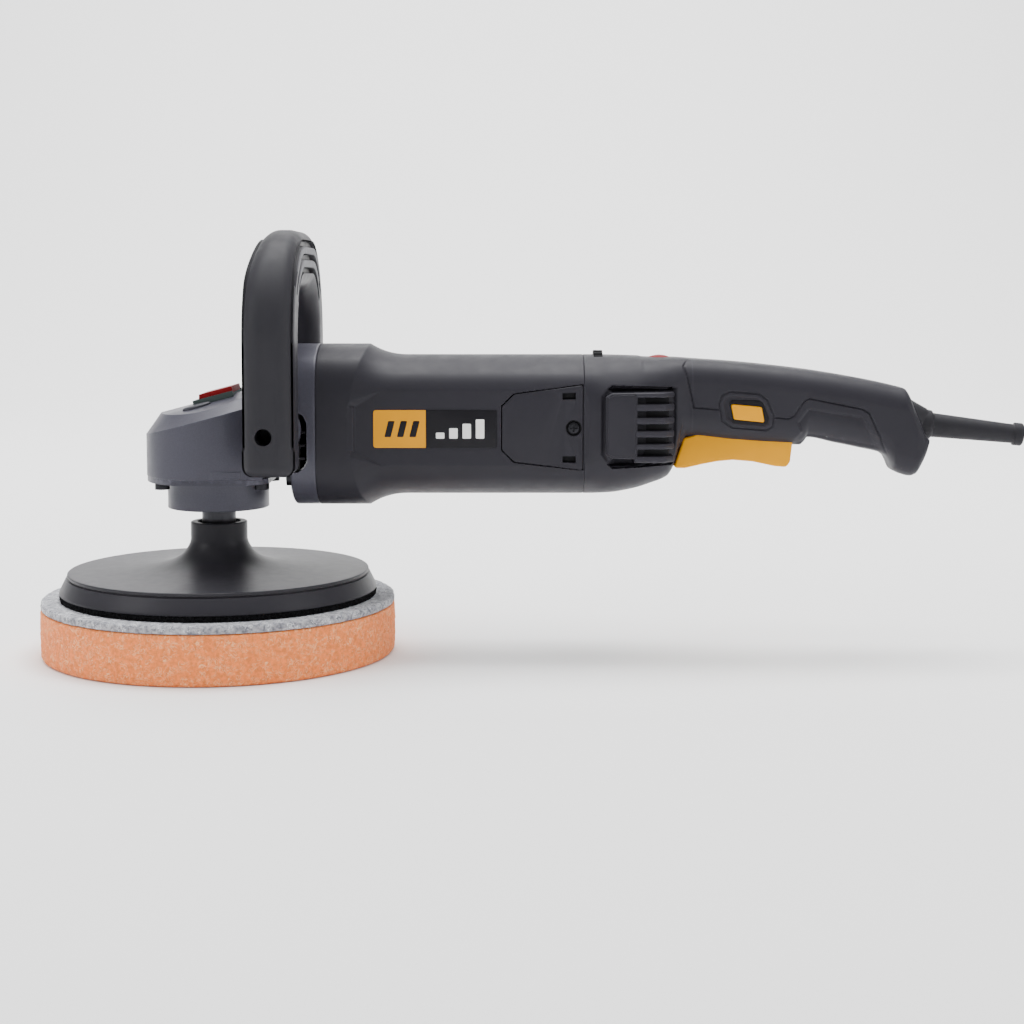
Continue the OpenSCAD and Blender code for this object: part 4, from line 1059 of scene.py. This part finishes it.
def build_gear_case():
    wall = case_plan(0)
    z0 = 91 + 6 * ease((wall[:, 0] - 26) / 3)
    ledge = case_plan(-0.5) - wall
    low_z = 114.7 + 0.271 * (wall[:, 0] + 26.5)
    brim_z = roof(*case_plan(7.5).T)
    rings = []

    def ring(plan, heights):
        rings.append(np.column_stack([plan, heights]))

    ring(case_plan(6), np.full(len(wall), 97.4))
    for inset, rise in ((0.7, 0), (0.2, 0.2), (0, 0.7)):
        ring(case_plan(inset), z0 + rise)
    for z in (91.9, 93.5, 94.9, 95.3, 95.7, 95.9):
        on = (wall[:, 0] > 2.4) & (wall[:, 0] < 16) & (z < 95.5)
        ring(wall + ledge * on[:, None], np.maximum(z, z0 + 0.8 + 0.01 * (z - 91)))
    for t in np.linspace(0.1, 1, 24):
        ring(wall, 98 + (low_z - 0.8 - 98) * t)
    for t in np.linspace(0, 1, 16):
        ring(case_plan(7.5 * t), low_z + (brim_z - low_z) * t)
    for t in np.linspace(0.02, 1, 40):
        edge = case_plan(7.5 + 22.5 * t)
        ring(edge, roof(*edge.T))
    # the bosses that carry the handle's end blocks
    inner = LOOP_HALF - BAR_T
    boss = [(0.3, -inner), (9.9, -inner), (10.5, 0.6 - inner), (10.7, -36), (11.4, -32.6), (12.6, -30.9),
            (13, -29), (0.3, -29)]
    bosses = pair(lathe_y(boss, 96, BOLT_X, BOLT_Z))
    mesh_piece("gear_case_body", join(closed_rings(rings), bosses), "grey_paint", "gear_case", sharp=9)
    # a raised oval on the roof on each side of the lock button
    turn = np.linspace(0, 2 * pi, 64, endpoint=False)
    for side, mark in ((-1, "near"), (1, "far")):
        oval = []
        for k, lift in ((1, -1), (1, 0.6), (0.97, 0.9), (0.88, 1.2), (0.6, 1.4), (0.1, 1.45)):
            x, y = -7.6 + 7 * k * np.cos(turn), side * (18.5 + 2.6 * k * np.sin(turn))
            oval.append(np.column_stack([x, y, roof(x, y) + lift]))
        mesh_piece("roof_oval_" + mark, closed_rings(oval), "grey_paint", look=OVAL_LOOK)


def build_bearing_flange():
    """The plate under the case and its round neck, with the slot in the neck's front."""
    lo = cad_mm("bearing_flange")[0]
    z0, low, z1 = lo[2], 88.3, 91.2
    plate, neck, half, rear_x = -lo[0] - 0.3, 25.7, 30.2, 28.5
    profile = [(10, z0), (neck - 0.7, z0)] + arc_points(neck - 0.5, z0 + 0.5, 0.5, -80, 0, 4)
    profile += [(neck, z) for z in (75.5, 75.55, 82.45, 82.5)]
    profile += [(neck, low - 0.6), (neck + 0.2, low - 0.15), (neck + 0.7, low), (plate - 0.5, low),
                (plate - 0.1, low + 0.2), (plate, low + 0.6), (plate, z1),
                (17.5, z1), (17.5, z0 + 3), (10, z0 + 3)]
    verts, faces = lathe(profile, 480)
    x, y, z = verts.T
    notch = (x < -20) & (y > -6) & (y < 1) & (z > 75.52) & (z < 82.48)
    verts[:, :2] *= np.where(notch, 22.7 / neck, 1)[:, None]
    verts[:, 1] = np.clip(verts[:, 1], -half, half)
    verts[:, 0] = np.minimum(verts[:, 0], rear_x)
    mesh_piece("bearing_flange_visual", (verts, faces), "grey_paint", "bearing_flange", sharp=32)


AIR_POCKET = [(37, 124.4), (44.9, 124.4), (46.9, 123.2), (48.7, 119.6), (48.8, 100.1), (47.3, 97.1),
              (44, 94.7), (37, 94.7)]


def build_gear_flange():
    """The wide flange in front of the motor housing, and the air outlets in its sides, lined in black as
    painted shade in their pockets.
    """
    x0, x1 = 38, cad_mm("gear_case")[1][0]
    sizes = [(x0, 0.62), (x0 + 0.5, 0.71), (x0 + 2, 0.93), (x0 + 2.4, 0.965), (x0 + 2.8, 0.985),
             (x0 + 3.4, 0.996)]
    sizes += [(x, 0.998) for x in np.linspace(x0 + 4, x1 - 0.7, 14)]
    sizes += [(x1 - 0.4, 0.996), (x1 - 0.2, 0.993), (x1, 0.985)]
    y, z = FRONT_RING * np.cos(RING_ANGLES), FRONT_RING * np.sin(RING_ANGLES)
    rings = [np.column_stack([np.full(len(y), x), k * y, MOTOR_Z + k * z]) for x, k in sizes]
    mesh_piece("gear_case_flange", closed_rings(rings), "grey_paint", sharp=20,
               cuts=[prism(AIR_POCKET, side * 25.5, side * 40, 0.05) for side in (-1, 1)])
    for side, mark in ((-1, "near"), (1, "far")):
        # a black lining and black ribs in each outlet pocket: painted shade inside the pocket
        pocket_shade = prism(offset_outline(AIR_POCKET, 0.3), side * 24, side * 26.4, 0.2)
        y0, y1 = sorted((side * 26, side * 28.4))
        ribs = [slat(43, 47.8, y0, y1, z, z + 1.4, 0.4) for z in (101, 107.5, 114)]
        mesh_piece("air_outlet_painted_shade_" + mark, join(pocket_shade, *ribs), "black_plastic")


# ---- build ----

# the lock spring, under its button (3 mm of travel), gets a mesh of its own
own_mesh(frame["nodes"]["lock_spring"])

build_pad()
build_backing_plate()
build_front_handle()
build_motor_housing()
build_brush_covers()
build_side_plates()
build_rear_housing()
build_grilles()
build_rear_handle()
build_small_parts()
build_gear_case()
build_bearing_flange()
build_gear_flange()


# ---- floor, light and camera ----

def build_studio():
    """A pale floor that curves up behind the object, and four soft lights."""
    near, far, bend, height, half = -3.0, 1.6, 1.2, 3.4, 4.5
    line = [(near, 0.0)] + [(far + bend * sin(a), bend * (1 - cos(a)))
                            for a in np.linspace(0, pi / 2, 24)] + [(far + bend, height)]
    verts = [(x, y, z) for y, z in line for x in (-half, half)]
    mesh = bpy.data.meshes.new("floor")
    mesh.from_pydata(verts, [], [(2 * i, 2 * i + 1, 2 * i + 3, 2 * i + 2) for i in range(len(line) - 1)])
    mesh.shade_smooth()
    floor = placed("floor", mesh)
    look = Look("floor_pale", (0.9, 0.9, 0.9), 0.85, specular=0.1)
    look.color(look.mix(look.noise(3.0), (0.89, 0.89, 0.89), (0.91, 0.91, 0.91)))
    mesh.materials.append(look.material)

    world = bpy.data.worlds.new("studio")
    bpy.context.scene.world = world
    world.use_nodes = True
    sky = world.node_tree.nodes["Background"]
    sky.inputs["Color"].default_value = (1, 1, 1, 1)
    sky.inputs["Strength"].default_value = 0.42

    for name, place, aim, power, width in (
        ("light_top", (0.1, 0.1, 2.2), (0.13, 0.1, 0), 72, 2.4),
        ("light_wall", (0.1, 0.9, 2.9), (0.1, 2.7, 1.0), 170, 2.4),
        ("light_left", (-1.6, -1.0, 1.0), (0.1, 0, 0.1), 14, 0.8),
        ("light_right", (1.9, -0.8, 0.7), (0.2, 0, 0.1), 9, 0.8),
    ):
        data = bpy.data.lights.new(name, "AREA")
        data.energy = power
        data.size = width
        lamp = placed(name, data)
        lamp.location = place
        lamp.rotation_euler = (Vector(aim) - Vector(place)).to_track_quat("-Z", "Y").to_euler()


def build_camera():
    lens_px, frame_px = 1804, 1024
    data = bpy.data.cameras.new("camera")
    data.sensor_width = 36
    data.lens = lens_px / frame_px * data.sensor_width
    data.shift_y = -89 / frame_px
    data.clip_end = 20
    camera = placed("camera", data)
    camera.location = (0.15045, -0.920, 0.1903)
    camera.rotation_euler = (radians(90 - 4.54), 0, 0)
    bpy.context.scene.camera = camera


build_studio()
build_camera()
